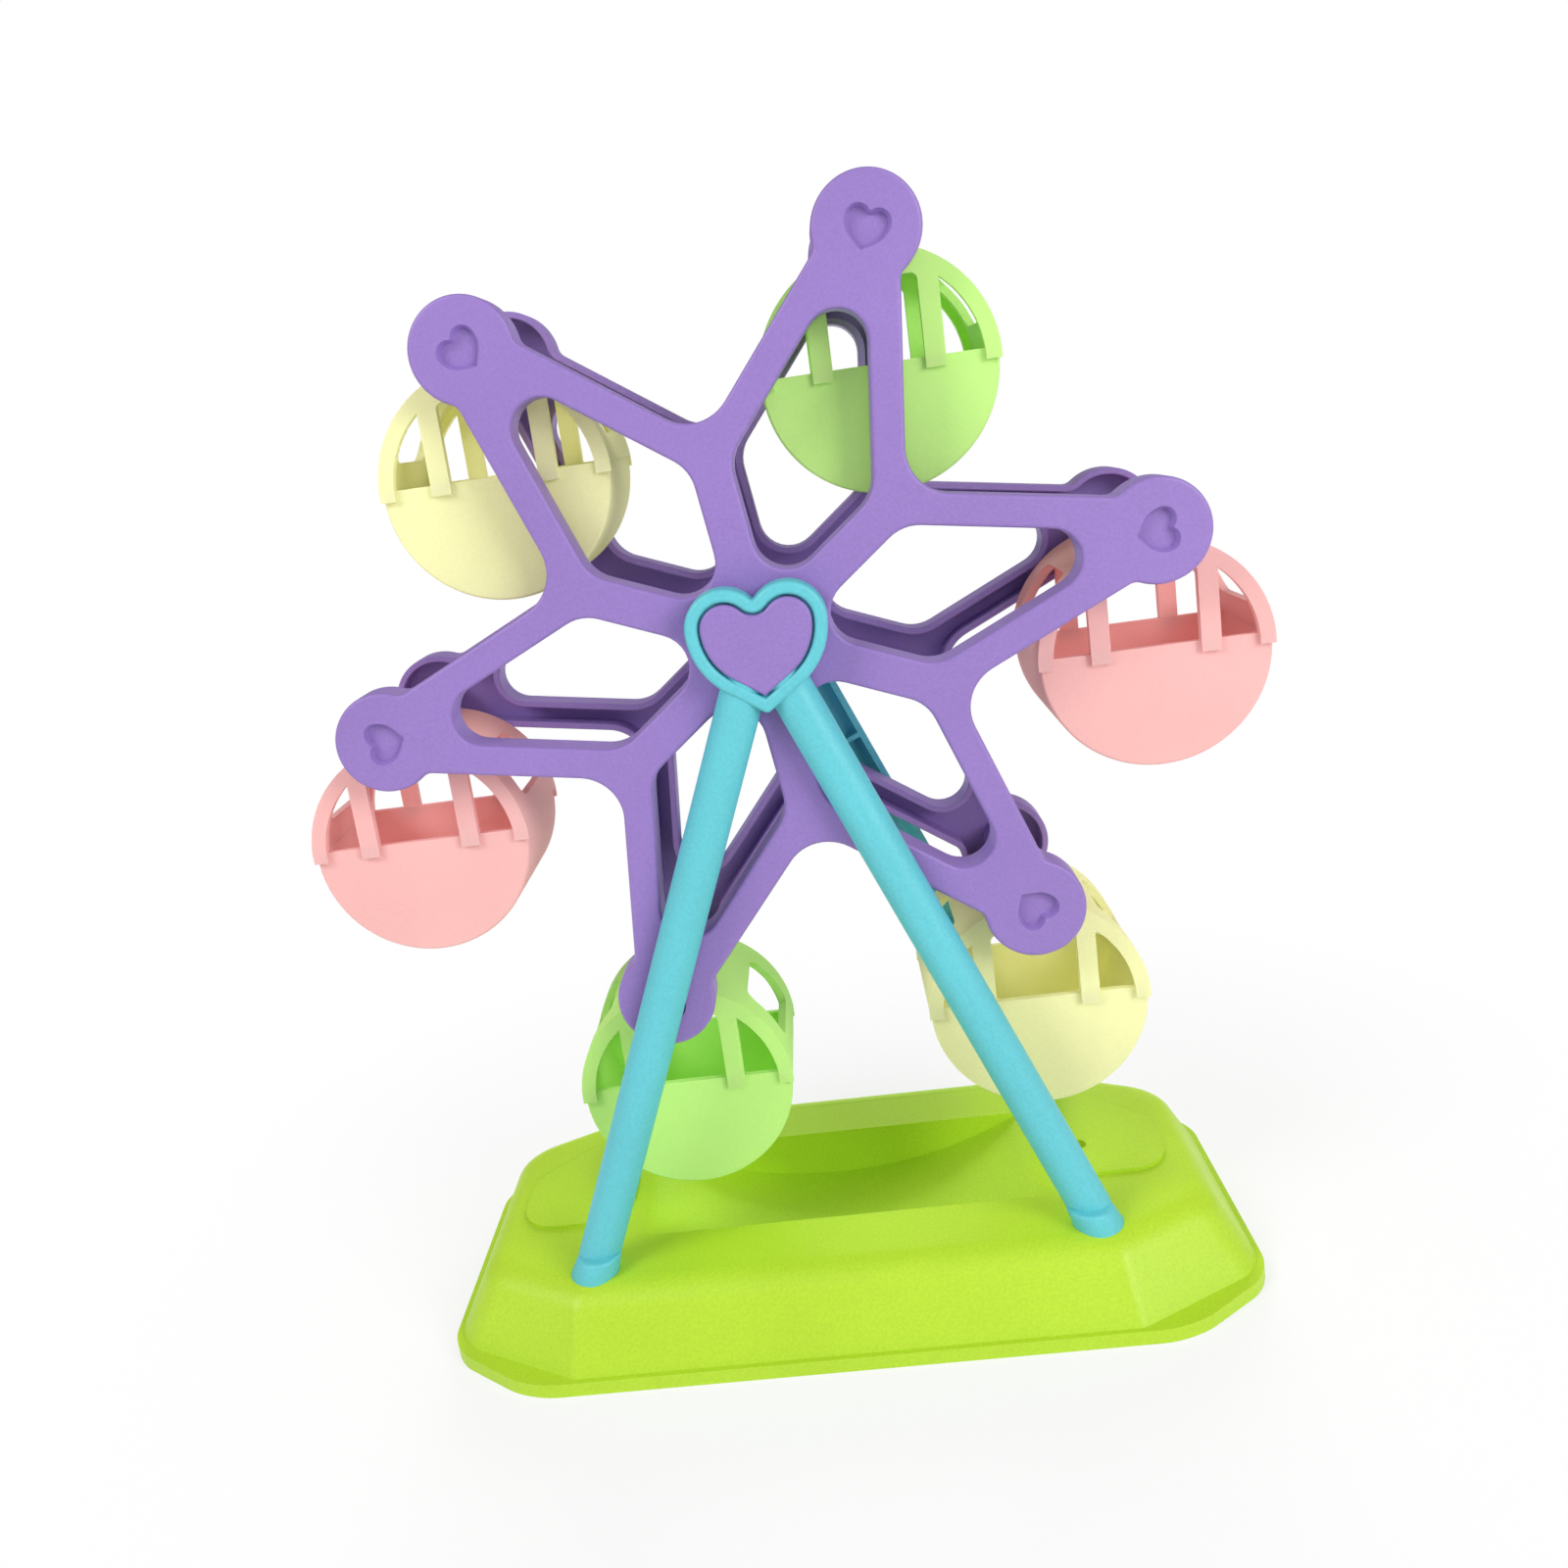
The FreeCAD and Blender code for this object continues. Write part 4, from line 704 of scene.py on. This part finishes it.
def leg_patches(sizes, side, base_top, aim, back):
    """A channel leg from its foot up to the heart, with its cross ribs and the foot itself.

    The section, closed round its outside and its channel, is carried along the leg's straight line. The foot
    is a profile turned about the upright line in its socket, and above the base about the leg's own line.
    """
    foot = complex(side * sizes.foot_spread, base_top)
    up = (1j * aim - foot) / abs(1j * aim - foot)
    across = -1j * up
    start = sizes.foot_rise / up.imag - sizes.leg_start
    hollow = sizes.foot_rise / up.imag + sizes.leg_wall
    end = abs(1j * aim - foot) - sizes.leg_end
    outer, inner = leg_section(sizes, 0), leg_section(sizes, sizes.leg_wall)
    middle = np.zeros_like(outer)

    def along(section, *distances):
        """A section at each of some distances up the leg."""
        distances = np.array(distances)[:, None]
        plane = foot + distances * up + section.real * across
        level = np.broadcast_to(-back - section.imag, plane.shape)
        return np.stack([plane.real, level, plane.imag], axis=-1)

    def end_face(first, second, distance):
        """A flat strip between two sections, at a distance up the leg."""
        return patch(np.concatenate([along(first, distance), along(second, distance)]))

    back_face = np.array([outer[0], inner[0], 0, inner[-1], outer[-1]])
    made = [
        patch(along(np.concatenate([outer, inner[::-1]]), hollow, end), closed_columns=True),
        end_face(outer, inner, end),
        patch(along(outer, start, hollow)),
        end_face(outer, middle, start),
        end_face(inner, middle, hollow),
        patch(along(back_face, start, hollow)),
    ]

    # The ribs reach a little into the walls.
    rib_section = inner * 1.03
    for low in np.arange(hollow + sizes.rib_pitch / 2, end - sizes.rib_pitch / 2, sizes.rib_pitch):
        high = low + sizes.rib
        made.append(patch(along(rib_section, low, high), closed_columns=True))
        made += [end_face(rib_section, middle, distance) for distance in (low, high)]

    radius, turned = sizes.foot_radius, sizes.foot_round
    bottom, shoulder = base_top - sizes.foot_depth, base_top + sizes.foot_rise
    corner = complex(radius - sizes.foot_taper - turned, shoulder - turned)
    profile = join(
        [1j * bottom, radius + 1j * bottom, radius + 1j * base_top],
        arc(corner, turned, 0, 90, 7),
        [1j * shoulder],
    )
    distance, height = profile.real[:, None], profile.imag[:, None]
    turn = directions(48)
    middle_x = foot.real + np.maximum(height - base_top, 0) * up.real / up.imag
    plane = distance * turn + middle_x + 1j * (-back - sizes.leg_depth / 2)
    places = np.stack([plane.real, plane.imag, np.broadcast_to(height, plane.shape)], axis=-1)
    made.append(patch(places, closed_columns=True))
    return made


class FERRIS_OT_frames(bpy.types.Operator):
    """Make the two teal A-frames."""

    bl_idname = "ferris.frames"
    bl_label = "A-frames"

    def execute(self, context):
        sizes, heart = context.scene.ferris_frame, context.scene.ferris_heart
        axle, back = hinge("wheel_spin"), frame_back(heart)
        base_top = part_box("front_frame")[0].z + sizes.foot_depth
        made = [placed(heart_patches(heart), turned_about_y(0, (0, -back, axle.z)))]
        for side in (-1, 1):
            made += leg_patches(sizes, side, base_top, axle.z + sizes.leg_aim, back)
        whole = joined(*made)
        for node, about_z in (("front_frame", 0), ("rear_frame", 180)):
            turn = Matrix.Rotation(math.radians(about_z), 4, "Z")
            add_piece(node + "_moulding", "stand", "frame_teal", placed(whole, turn), (node,))
        return {"FINISHED"}


class FERRIS_OT_heart_cap(bpy.types.Operator):
    """Make the heart that closes the front hub."""

    bl_idname = "ferris.heart_cap"
    bl_label = "Heart cap"

    def execute(self, context):
        heart = context.scene.ferris_heart
        low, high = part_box("front_heart_cap")
        edge, thick, turned = heart.ring + heart.gap, high.y - low.y, heart.cap_round
        rounding = arc(complex(edge + turned, turned - thick), turned, 180, 270, ROUND_POINTS)
        loops, levels = heart_loops(heart, join([edge], rounding))
        loops = [loops[0] * 0] + loops + [loops[-1] * share for share in (0.8, 0.4, 0)]
        levels = [0] + levels + [-thick] * 3
        patches = placed(rings(loops, levels), turned_about_y(0, (0, high.y, hinge("wheel_spin").z)))
        add_piece("front_heart_cap_moulding", "stand", "star_purple", patches, ("front_heart_cap",))
        return {"FINISHED"}


# Gondolas


class FERRIS_PG_gondola(bpy.types.PropertyGroup):
    """Sizes of a gondola."""

    rim_rise: size("Rim rise", "Height of the tub's rim above its drum's centre", 1.8)
    wall: size("Wall", "Wall of the tub", 1.6)
    edge: size("Edge", "Rounding of the tub's edges", 0.6)


def tub_patches(sizes, radius, depth):
    """A drum about a line along Y, closed at its ends and open above its rim.

    Each ring of a profile is an arc from rim to rim below the line: x + iz is the ring's radius times the
    unit direction, and an arc's ends lie where it meets the rim's level. Flat strips between the first and
    last arcs and the rim's straight line close the ends, and strips between outside and inside the rim.
    """
    half, edge, wall = depth / 2, sizes.edge, sizes.wall
    front = arc(complex(radius - edge, edge - half), edge, 270, 360, ROUND_POINTS)
    outside = np.concatenate([front, front[::-1].conj()])
    inside = radius - wall + 1j * np.linspace(wall - half, half - wall, len(outside))
    share = np.linspace(0, 1, 61)
    made, rims = [], []
    for profile in outside, inside:
        distance, level = profile.real[:, None], profile.imag
        rise = np.arcsin(sizes.rim_rise / distance)
        arcs = distance * np.exp(1j * (np.pi - rise + (np.pi + 2 * rise) * share))
        made.append(patch(raised(arcs, level[:, None])))
        lines = arcs[[0, -1], :1] + (arcs[[0, -1], -1:] - arcs[[0, -1], :1]) * share
        made += [between(arcs[end], lines[end], level[end]) for end in (0, -1)]
        rims.append([raised(line, level[end]) for line, end in zip(lines, (0, -1))])
        rims[-1] += [raised(arcs[:, end], level) for end in (0, -1)]
    made += [patch(np.stack([outer, inner])) for outer, inner in zip(*rims)]
    return joined(*made)


def add_welded(node, body, slot, soften=0.3 * MM, reshape=None):
    """A copy of a CAD node in its place: welded, its flats made whole, its edges softened by a bevel.

    A function may reshape the copy before its edges are softened.
    """
    name = node + "_moulding"
    mesh = frame["nodes"][node].data.copy()
    mesh.name = name
    shape = bmesh.new()
    shape.from_mesh(mesh)
    bmesh.ops.remove_doubles(shape, verts=shape.verts, dist=5 * WELD)
    bmesh.ops.dissolve_limit(shape, angle_limit=math.radians(0.5), verts=shape.verts, edges=shape.edges)
    shape.to_mesh(mesh)
    shape.free()
    if reshape:
        reshape(mesh)
    mesh.shade_smooth()
    piece = add_object(name, mesh, body, slot, (node,))
    bevel = piece.modifiers.new("Soft edges", "BEVEL")
    bevel.width = soften
    bevel.segments = 2
    bevel.limit_method = "ANGLE"
    bevel.angle_limit = math.radians(30)
    weighted = piece.modifiers.new("Flat faces", "WEIGHTED_NORMAL")
    weighted.weight = 100
    weighted.keep_sharp = True


class FERRIS_OT_gondolas(bpy.types.Operator):
    """Make the six gondolas: a tub and a windowed cage each."""

    bl_idname = "ferris.gondolas"
    bl_label = "Gondolas"

    def execute(self, context):
        sizes = context.scene.ferris_gondola
        for number in range(1, ARMS + 1):
            slot = GONDOLA_SLOTS[(number - 1) % len(GONDOLA_SLOTS)]
            tub, cage, body = f"gondola_tub_{number}", f"gondola_cage_{number}", f"gondola_{number}"
            low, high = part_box(tub)
            centre = ((low.x + high.x) / 2, 0, high.z - sizes.rim_rise)
            patches = tub_patches(sizes, (high.x - low.x) / 2, high.y - low.y)
            add_piece(tub + "_moulding", body, slot, placed(patches, turned_about_y(0, centre)), (tub,))
            add_welded(cage, body, slot)
        return {"FINISHED"}


# Base, crank and metal


class FERRIS_PG_base(bpy.types.PropertyGroup):
    """Sizes of the base's walls and corners."""

    corner_x: size("Corner along X", "Cut of the sloped walls' corner along X, at the ledge", 32.0)
    corner_y: size("Corner along Y", "Cut of the same corner along Y", 17.0)
    cad_corner: size("CAD corner", "Both cuts of that corner in the CAD base", 32.0)
    ledge: size("Ledge", "Ledge of the lip round the sloped walls", 1.3)
    slope: size("Slope", "How far the walls lean in", 9.1)
    lip_height: size("Lip height", "Height of the lip", 3.5)
    pad_height: size("Pad height", "Height of a pad above the top", 0.8)
    top_round: size("Top rounding", "Rounding of the top edge", 8.0)
    long_round: size("Long side rounding", "Rounding of a corner wall's edge on a long side", 5.0)
    end_round: size("End rounding", "Rounding of a corner wall's edge at an end", 12.0)
    soft: size("Soft edges", "Softening of the base's other edges", 0.5)
    skin: size("Skin", "Thickness of the walls' skin", 1.0)
    cover: size("Cover", "How far the skin lies outside the CAD base's walls", 0.03)
    lip_round: size("Lip rounding", "Rounding of the lip's corners", 7.0)
    tuck: size("Tuck", "How far the skin goes down behind the lip's top", 0.3)
    rim: size("Rim", "Flat of the skin inside the top edge's rounding", 0.6)
    rim_round: size("Rim rounding", "Rounding of the corners of the skin's inner rim", 1.0)
    socket: size("Socket", "Radius that a foot's socket keeps to, below the skin", 6.9)
    socket_band: size("Socket band", "How far past that radius a socket's outside reaches", 1.9)


def eight_sided(half_x, half_y, cuts, rounds, count=7):
    """A rectangle with its corners cut off and rounded, as a loop of x + iy.

    At a corner P that turns the path by an angle t, the arc of radius r starts r * tan(t / 2) before P.
    """
    cut_x, cut_y = cuts
    quarter = np.array([complex(half_x, half_y - cut_y), complex(half_x - cut_x, half_y)])
    corners = np.concatenate([quarter, -quarter[::-1].conj(), -quarter, quarter[::-1].conj()])
    radius = np.tile([rounds[1], rounds[0], rounds[0], rounds[1]], 2)[:, None]
    before = corners - np.roll(corners, 1)
    before = (before / abs(before))[:, None]
    after = np.roll(corners, -1) - corners
    angle = np.angle((after / abs(after))[:, None] / before)
    start = corners[:, None] - radius * np.tan(angle / 2) * before
    steps = np.linspace(0, 1, count)[None, :]
    return (start + radius * 1j * before * (1 - np.exp(1j * angle * steps))).ravel()


def base_skin(sizes):
    """The sloped walls' skin: a closed band from the ledge over the top edge and back beneath.

    At an inset d the corner cuts a and b shrink alike, by the factor 1 - d (a + b - L) / (a b) with L the
    corner wall's length. The band's inner rim on the top follows the CAD base's own corner cut.
    """
    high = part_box("base_shell")[1]
    top, foot = high.z - sizes.pad_height, sizes.lip_height
    cuts = np.array([sizes.corner_x, sizes.corner_y])
    shrink = (cuts.sum() - math.hypot(*cuts)) / cuts.prod()
    lean = math.atan2(sizes.slope, top - foot)
    edge = sizes.ledge + sizes.slope
    tangent = sizes.top_round * math.tan(math.pi / 4 - lean / 2)

    def loop(inset):
        """The walls' outline at an inset from the lip's edge."""
        factor = 1 - (inset - sizes.ledge) * shrink
        return eight_sided(high.x - inset, high.y - inset, cuts * factor, (sizes.long_round, sizes.end_round))

    def profile(inside):
        """Insets and heights up the wall and round the top edge, at a depth inside the outer face."""
        radius = sizes.top_round - inside
        turn = np.linspace(lean, math.pi / 2, 9)
        insets = edge + tangent - radius * np.cos(turn)
        heights = top - sizes.top_round + radius * np.sin(turn)
        below = foot - sizes.tuck
        start = insets[0] - (heights[0] - below) * math.tan(lean)
        return np.concatenate([[start], insets]), np.concatenate([[below], heights])

    insets, heights = profile(-sizes.cover)
    inner_insets, inner_heights = profile(sizes.skin)
    rim = edge + tangent + sizes.rim
    rim_cut = sizes.cad_corner - (rim - sizes.ledge) * (2 - math.sqrt(2))
    rim_loop = eight_sided(high.x - rim, high.y - rim, (rim_cut, rim_cut), (sizes.rim_round, sizes.rim_round))
    loops = [loop(inset) for inset in insets] + [rim_loop, rim_loop]
    loops += [loop(inset) for inset in inner_insets[::-1]]
    levels = [*heights, heights[-1], inner_heights[-1], *inner_heights[::-1]]
    upright = Matrix.Rotation(math.radians(90), 4, "X")
    return placed(rings(loops + loops[:1], levels + levels[:1]), upright)


def trim_base(mesh, sizes, foot):
    """Round the lip's corners and draw each socket's outside in, so that it stays below the skin.

    The lip's corners are the upright edges outermost on the base. A socket's outside is what lies in a band
    round the foot's axis.
    """
    high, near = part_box("base_shell")[1], 0.05 * MM
    x, y, z = values_of(mesh.vertices, "co", 3).T
    outermost = (abs(x) > high.x - near) | (abs(y) > high.y - near)
    on_lip = outermost & (z < sizes.lip_height + near)
    ends = values_of(mesh.edges, "vertices", 2, np.int64)
    upright = abs(z[ends[:, 0]] - z[ends[:, 1]]) > sizes.lip_height / 2
    corners = np.flatnonzero(on_lip[ends].all(axis=1) & upright)
    shape = bmesh.new()
    shape.from_mesh(mesh)
    shape.edges.ensure_lookup_table()
    geom = [shape.edges[corner] for corner in corners.tolist()]
    bmesh.ops.bevel(shape, geom=geom, offset=sizes.lip_round, segments=6, profile=0.5, affect="EDGES")
    shape.to_mesh(mesh)
    shape.free()

    points = values_of(mesh.vertices, "co", 3)
    plane = abs(points[:, 0]) + 1j * abs(points[:, 1])
    away = plane - foot
    outside = (abs(away) > sizes.socket) & (abs(away) < sizes.socket + sizes.socket_band)
    plane[outside] = foot + away[outside] / abs(away[outside]) * sizes.socket
    points[:, 0] = np.copysign(plane.real, points[:, 0])
    points[:, 1] = np.copysign(plane.imag, points[:, 1])
    mesh.vertices.foreach_set("co", points.ravel())
    mesh.update()


class FERRIS_OT_base(bpy.types.Operator):
    """Make the lime base: the CAD base with softer corners, and the skin of its sloped walls."""

    bl_idname = "ferris.base"
    bl_label = "Base"

    def execute(self, context):
        scene = context.scene
        sizes, legs = scene.ferris_base, scene.ferris_frame
        foot = complex(legs.foot_spread, frame_back(scene.ferris_heart) + legs.leg_depth / 2)
        add_welded("base_shell", "stand", "base_lime", sizes.soft, lambda mesh: trim_base(mesh, sizes, foot))
        add_piece("base_skin", "stand", "base_lime", base_skin(sizes))
        return {"FINISHED"}


class FERRIS_OT_crank(bpy.types.Operator):
    """Make the crank's arm and knob."""

    bl_idname = "ferris.crank"
    bl_label = "Crank"

    def execute(self, context):
        add_welded("crank_arm", "wheel", "star_purple")
        add_welded("crank_knob", "knob", "base_lime")
        return {"FINISHED"}


class FERRIS_OT_metal(bpy.types.Operator):
    """Give the axle, the pins, the screw and the spacer their finish."""

    bl_idname = "ferris.metal"
    bl_label = "Axle and pins"

    def execute(self, context):
        pins = [f"hanger_pin_{number}" for number in range(1, ARMS + 1)]
        for node in ("wheel_axle", "crank_screw", "knob_pin", *pins):
            give_finish(frame["nodes"][node].data, "steel")
        give_finish(frame["nodes"]["hub_spacer"].data, "star_purple")
        return {"FINISHED"}


# Stage


class FERRIS_PG_stage(bpy.types.PropertyGroup):
    """The camera, the lights and the floor."""

    focal: size("Focal length", "Focal length on a 36 mm sensor", 30.505)
    camera: FloatVectorProperty(
        name="Camera",
        description="Place of the camera",
        default=(0.014664, -0.316050, 0.213802),
        unit="LENGTH",
    )
    yaw: number("Yaw", "Turn of the view to the left", 0.079671, "ROTATION")
    pitch: number("Pitch", "Tilt of the view downwards", 0.223936, "ROTATION")
    roll: number("Roll", "Clockwise roll of the camera", 0.145391, "ROTATION")
    shift: FloatVectorProperty(
        name="Shift",
        description="Shift of the frame, as shares of its width",
        default=(0.031406, -0.032150),
        size=2,
    )
    key_power: number("Key power", "Power of the softbox at the front right", 8.5, "POWER")
    fill_power: number("Fill power", "Power of the softbox at the front left", 7.0, "POWER")
    back_power: number("Back power", "Power of the softbox behind the toy", 14.0, "POWER")
    world: number("World", "Strength of the even light from all sides", 0.36)
    fade_start: size("Fade start", "Distance from the middle where the floor starts to fade to white", 100.0)
    fade_end: size("Fade end", "Distance from the middle where the floor is all white", 260.0)
    floor_white: number("Floor white", "Share of plain white under the toy", 0.70)


def softbox(name, place, width, watts):
    """A square softbox that points at the toy's middle."""
    light = bpy.data.lights.new(name, "AREA")
    light.energy = watts
    light.size = width
    lamp = bpy.data.objects.new(name, light)
    lamp.location = place
    lamp.rotation_mode = "QUATERNION"
    lamp.rotation_quaternion = (Vector(TOY_MIDDLE) - Vector(place)).to_track_quat("-Z", "Y")
    bpy.context.scene.collection.objects.link(lamp)
    return lamp


def combined(tree, operation, first, second):
    """The result of a calculation with two sockets."""
    return add_node(tree, "Math", {"operation": operation}, {0: first, 1: second}).outputs[0]


def white_table(stage):
    """A matt white table top, which the eye sees fade to plain white away from the toy.

    Only the camera, mirrors and glass see the fade, so the table lights the toy from below as a real one.
    """
    material = bpy.data.materials.new("White table")
    tree = node_tree(material)
    matt = add_node(tree, "BsdfDiffuse", Color=linear("#f2f2f2"))
    white = add_node(tree, "Emission", Strength=1.0)
    place = add_node(tree, "TexCoord").outputs["Object"]
    distance = add_node(tree, "VectorMath", {"operation": "LENGTH"}, {0: place}).outputs["Value"]
    span = stage.fade_start, stage.fade_end
    far = mapped(tree, distance, (stage.floor_white, 1), span, "SMOOTHSTEP")
    rays = add_node(tree, "LightPath").outputs
    seen = combined(tree, "MAXIMUM", rays["Is Camera Ray"], rays["Is Glossy Ray"])
    seen = combined(tree, "MAXIMUM", seen, rays["Is Transmission Ray"])
    amount = combined(tree, "MULTIPLY", far, seen)
    mix = add_node(tree, "MixShader", links={0: amount, 1: matt.outputs[0], 2: white.outputs[0]})
    add_node(tree, "OutputMaterial", links={"Surface": mix.outputs[0]})
    return material


def add_floor(stage):
    """A round floor just under the toy."""
    turn = directions(96)
    plane = np.outer(FLOOR_RINGS, turn)
    grid = np.stack([plane.real, plane.imag, np.full(plane.shape, -FLOOR_GAP)], axis=-1)
    mesh = new_mesh("Floor", patch(grid, closed_columns=True))
    mesh.materials.append(white_table(stage))
    floor = bpy.data.objects.new("Floor", mesh)
    bpy.context.scene.collection.objects.link(floor)


def studio_world(stage):
    """A world that lights evenly from all sides and that the camera sees as plain white."""
    world = bpy.data.worlds.new("Studio")
    tree = node_tree(world)
    rays = add_node(tree, "LightPath").outputs
    soft = add_node(tree, "Background", Color=WHITE, Strength=stage.world)
    seen = add_node(tree, "Background", Color=WHITE, Strength=1.0)
    links = {0: rays["Is Camera Ray"], 1: soft.outputs[0], 2: seen.outputs[0]}
    mix = add_node(tree, "MixShader", links=links)
    add_node(tree, "OutputWorld", links={"Surface": mix.outputs[0]})
    return world


class FERRIS_OT_stage(bpy.types.Operator):
    """Set the floor, the lights, the background and the camera."""

    bl_idname = "ferris.stage"
    bl_label = "Stage"

    def execute(self, context):
        scene = context.scene
        stage = scene.ferris_stage
        add_floor(stage)
        scene.world = studio_world(stage)
        for name, (place, width) in SOFTBOXES.items():
            lamp = softbox(name, place, width, getattr(stage, name.lower() + "_power"))
            # A mirrored back light would draw white lines along the edges.
            lamp.visible_glossy = name != "Back"
        camera = bpy.data.cameras.new("Camera")
        camera.sensor_width = 36
        camera.lens = stage.focal / MM
        camera.shift_x, camera.shift_y = stage.shift
        camera.clip_start, camera.clip_end = 0.01, 20
        viewer = bpy.data.objects.new("Camera", camera)
        level = Matrix.Rotation(stage.yaw, 4, "Z") @ Matrix.Rotation(math.radians(90) - stage.pitch, 4, "X")
        viewer.matrix_world = Matrix.Translation(stage.camera) @ level @ Matrix.Rotation(-stage.roll, 4, "Z")
        scene.collection.objects.link(viewer)
        scene.camera = viewer
        scene.view_settings.view_transform = "Standard"
        return {"FINISHED"}


# Panel and run

OPERATORS = (
    FERRIS_OT_stage,
    FERRIS_OT_stars,
    FERRIS_OT_frames,
    FERRIS_OT_heart_cap,
    FERRIS_OT_gondolas,
    FERRIS_OT_base,
    FERRIS_OT_crank,
    FERRIS_OT_metal,
)
GROUPS = {
    "ferris_star": FERRIS_PG_star,
    "ferris_heart": FERRIS_PG_heart,
    "ferris_frame": FERRIS_PG_frame,
    "ferris_gondola": FERRIS_PG_gondola,
    "ferris_base": FERRIS_PG_base,
    "ferris_finish": FERRIS_PG_finish,
    "ferris_stage": FERRIS_PG_stage,
}


class FERRIS_PT_toy(bpy.types.Panel):
    """The toy's pieces and their sizes."""

    bl_label = "Ferris Wheel"
    bl_idname = "FERRIS_PT_toy"
    bl_space_type = "VIEW_3D"
    bl_region_type = "UI"
    bl_category = "Ferris Wheel"

    def draw(self, context):
        for operator in OPERATORS:
            self.layout.operator(operator.bl_idname)
        for name, group in GROUPS.items():
            column = self.layout.column(align=True)
            for key in group.__annotations__:
                column.prop(getattr(context.scene, name), key)


def register():
    """Registers the sizes, the operators and the panel."""
    for name, group in GROUPS.items():
        bpy.utils.register_class(group)
        setattr(bpy.types.Scene, name, PointerProperty(type=group))
    for operator in OPERATORS:
        bpy.utils.register_class(operator)
    bpy.utils.register_class(FERRIS_PT_toy)


def unregister():
    """Takes them away again."""
    bpy.utils.unregister_class(FERRIS_PT_toy)
    for operator in reversed(OPERATORS):
        bpy.utils.unregister_class(operator)
    for name, group in reversed(GROUPS.items()):
        delattr(bpy.types.Scene, name)
        bpy.utils.unregister_class(group)


def main():
    """Builds everything in order."""
    register()
    for operator in OPERATORS:
        family, name = operator.bl_idname.split(".")
        getattr(getattr(bpy.ops, family), name)()


if __name__ == "__main__":
    main()
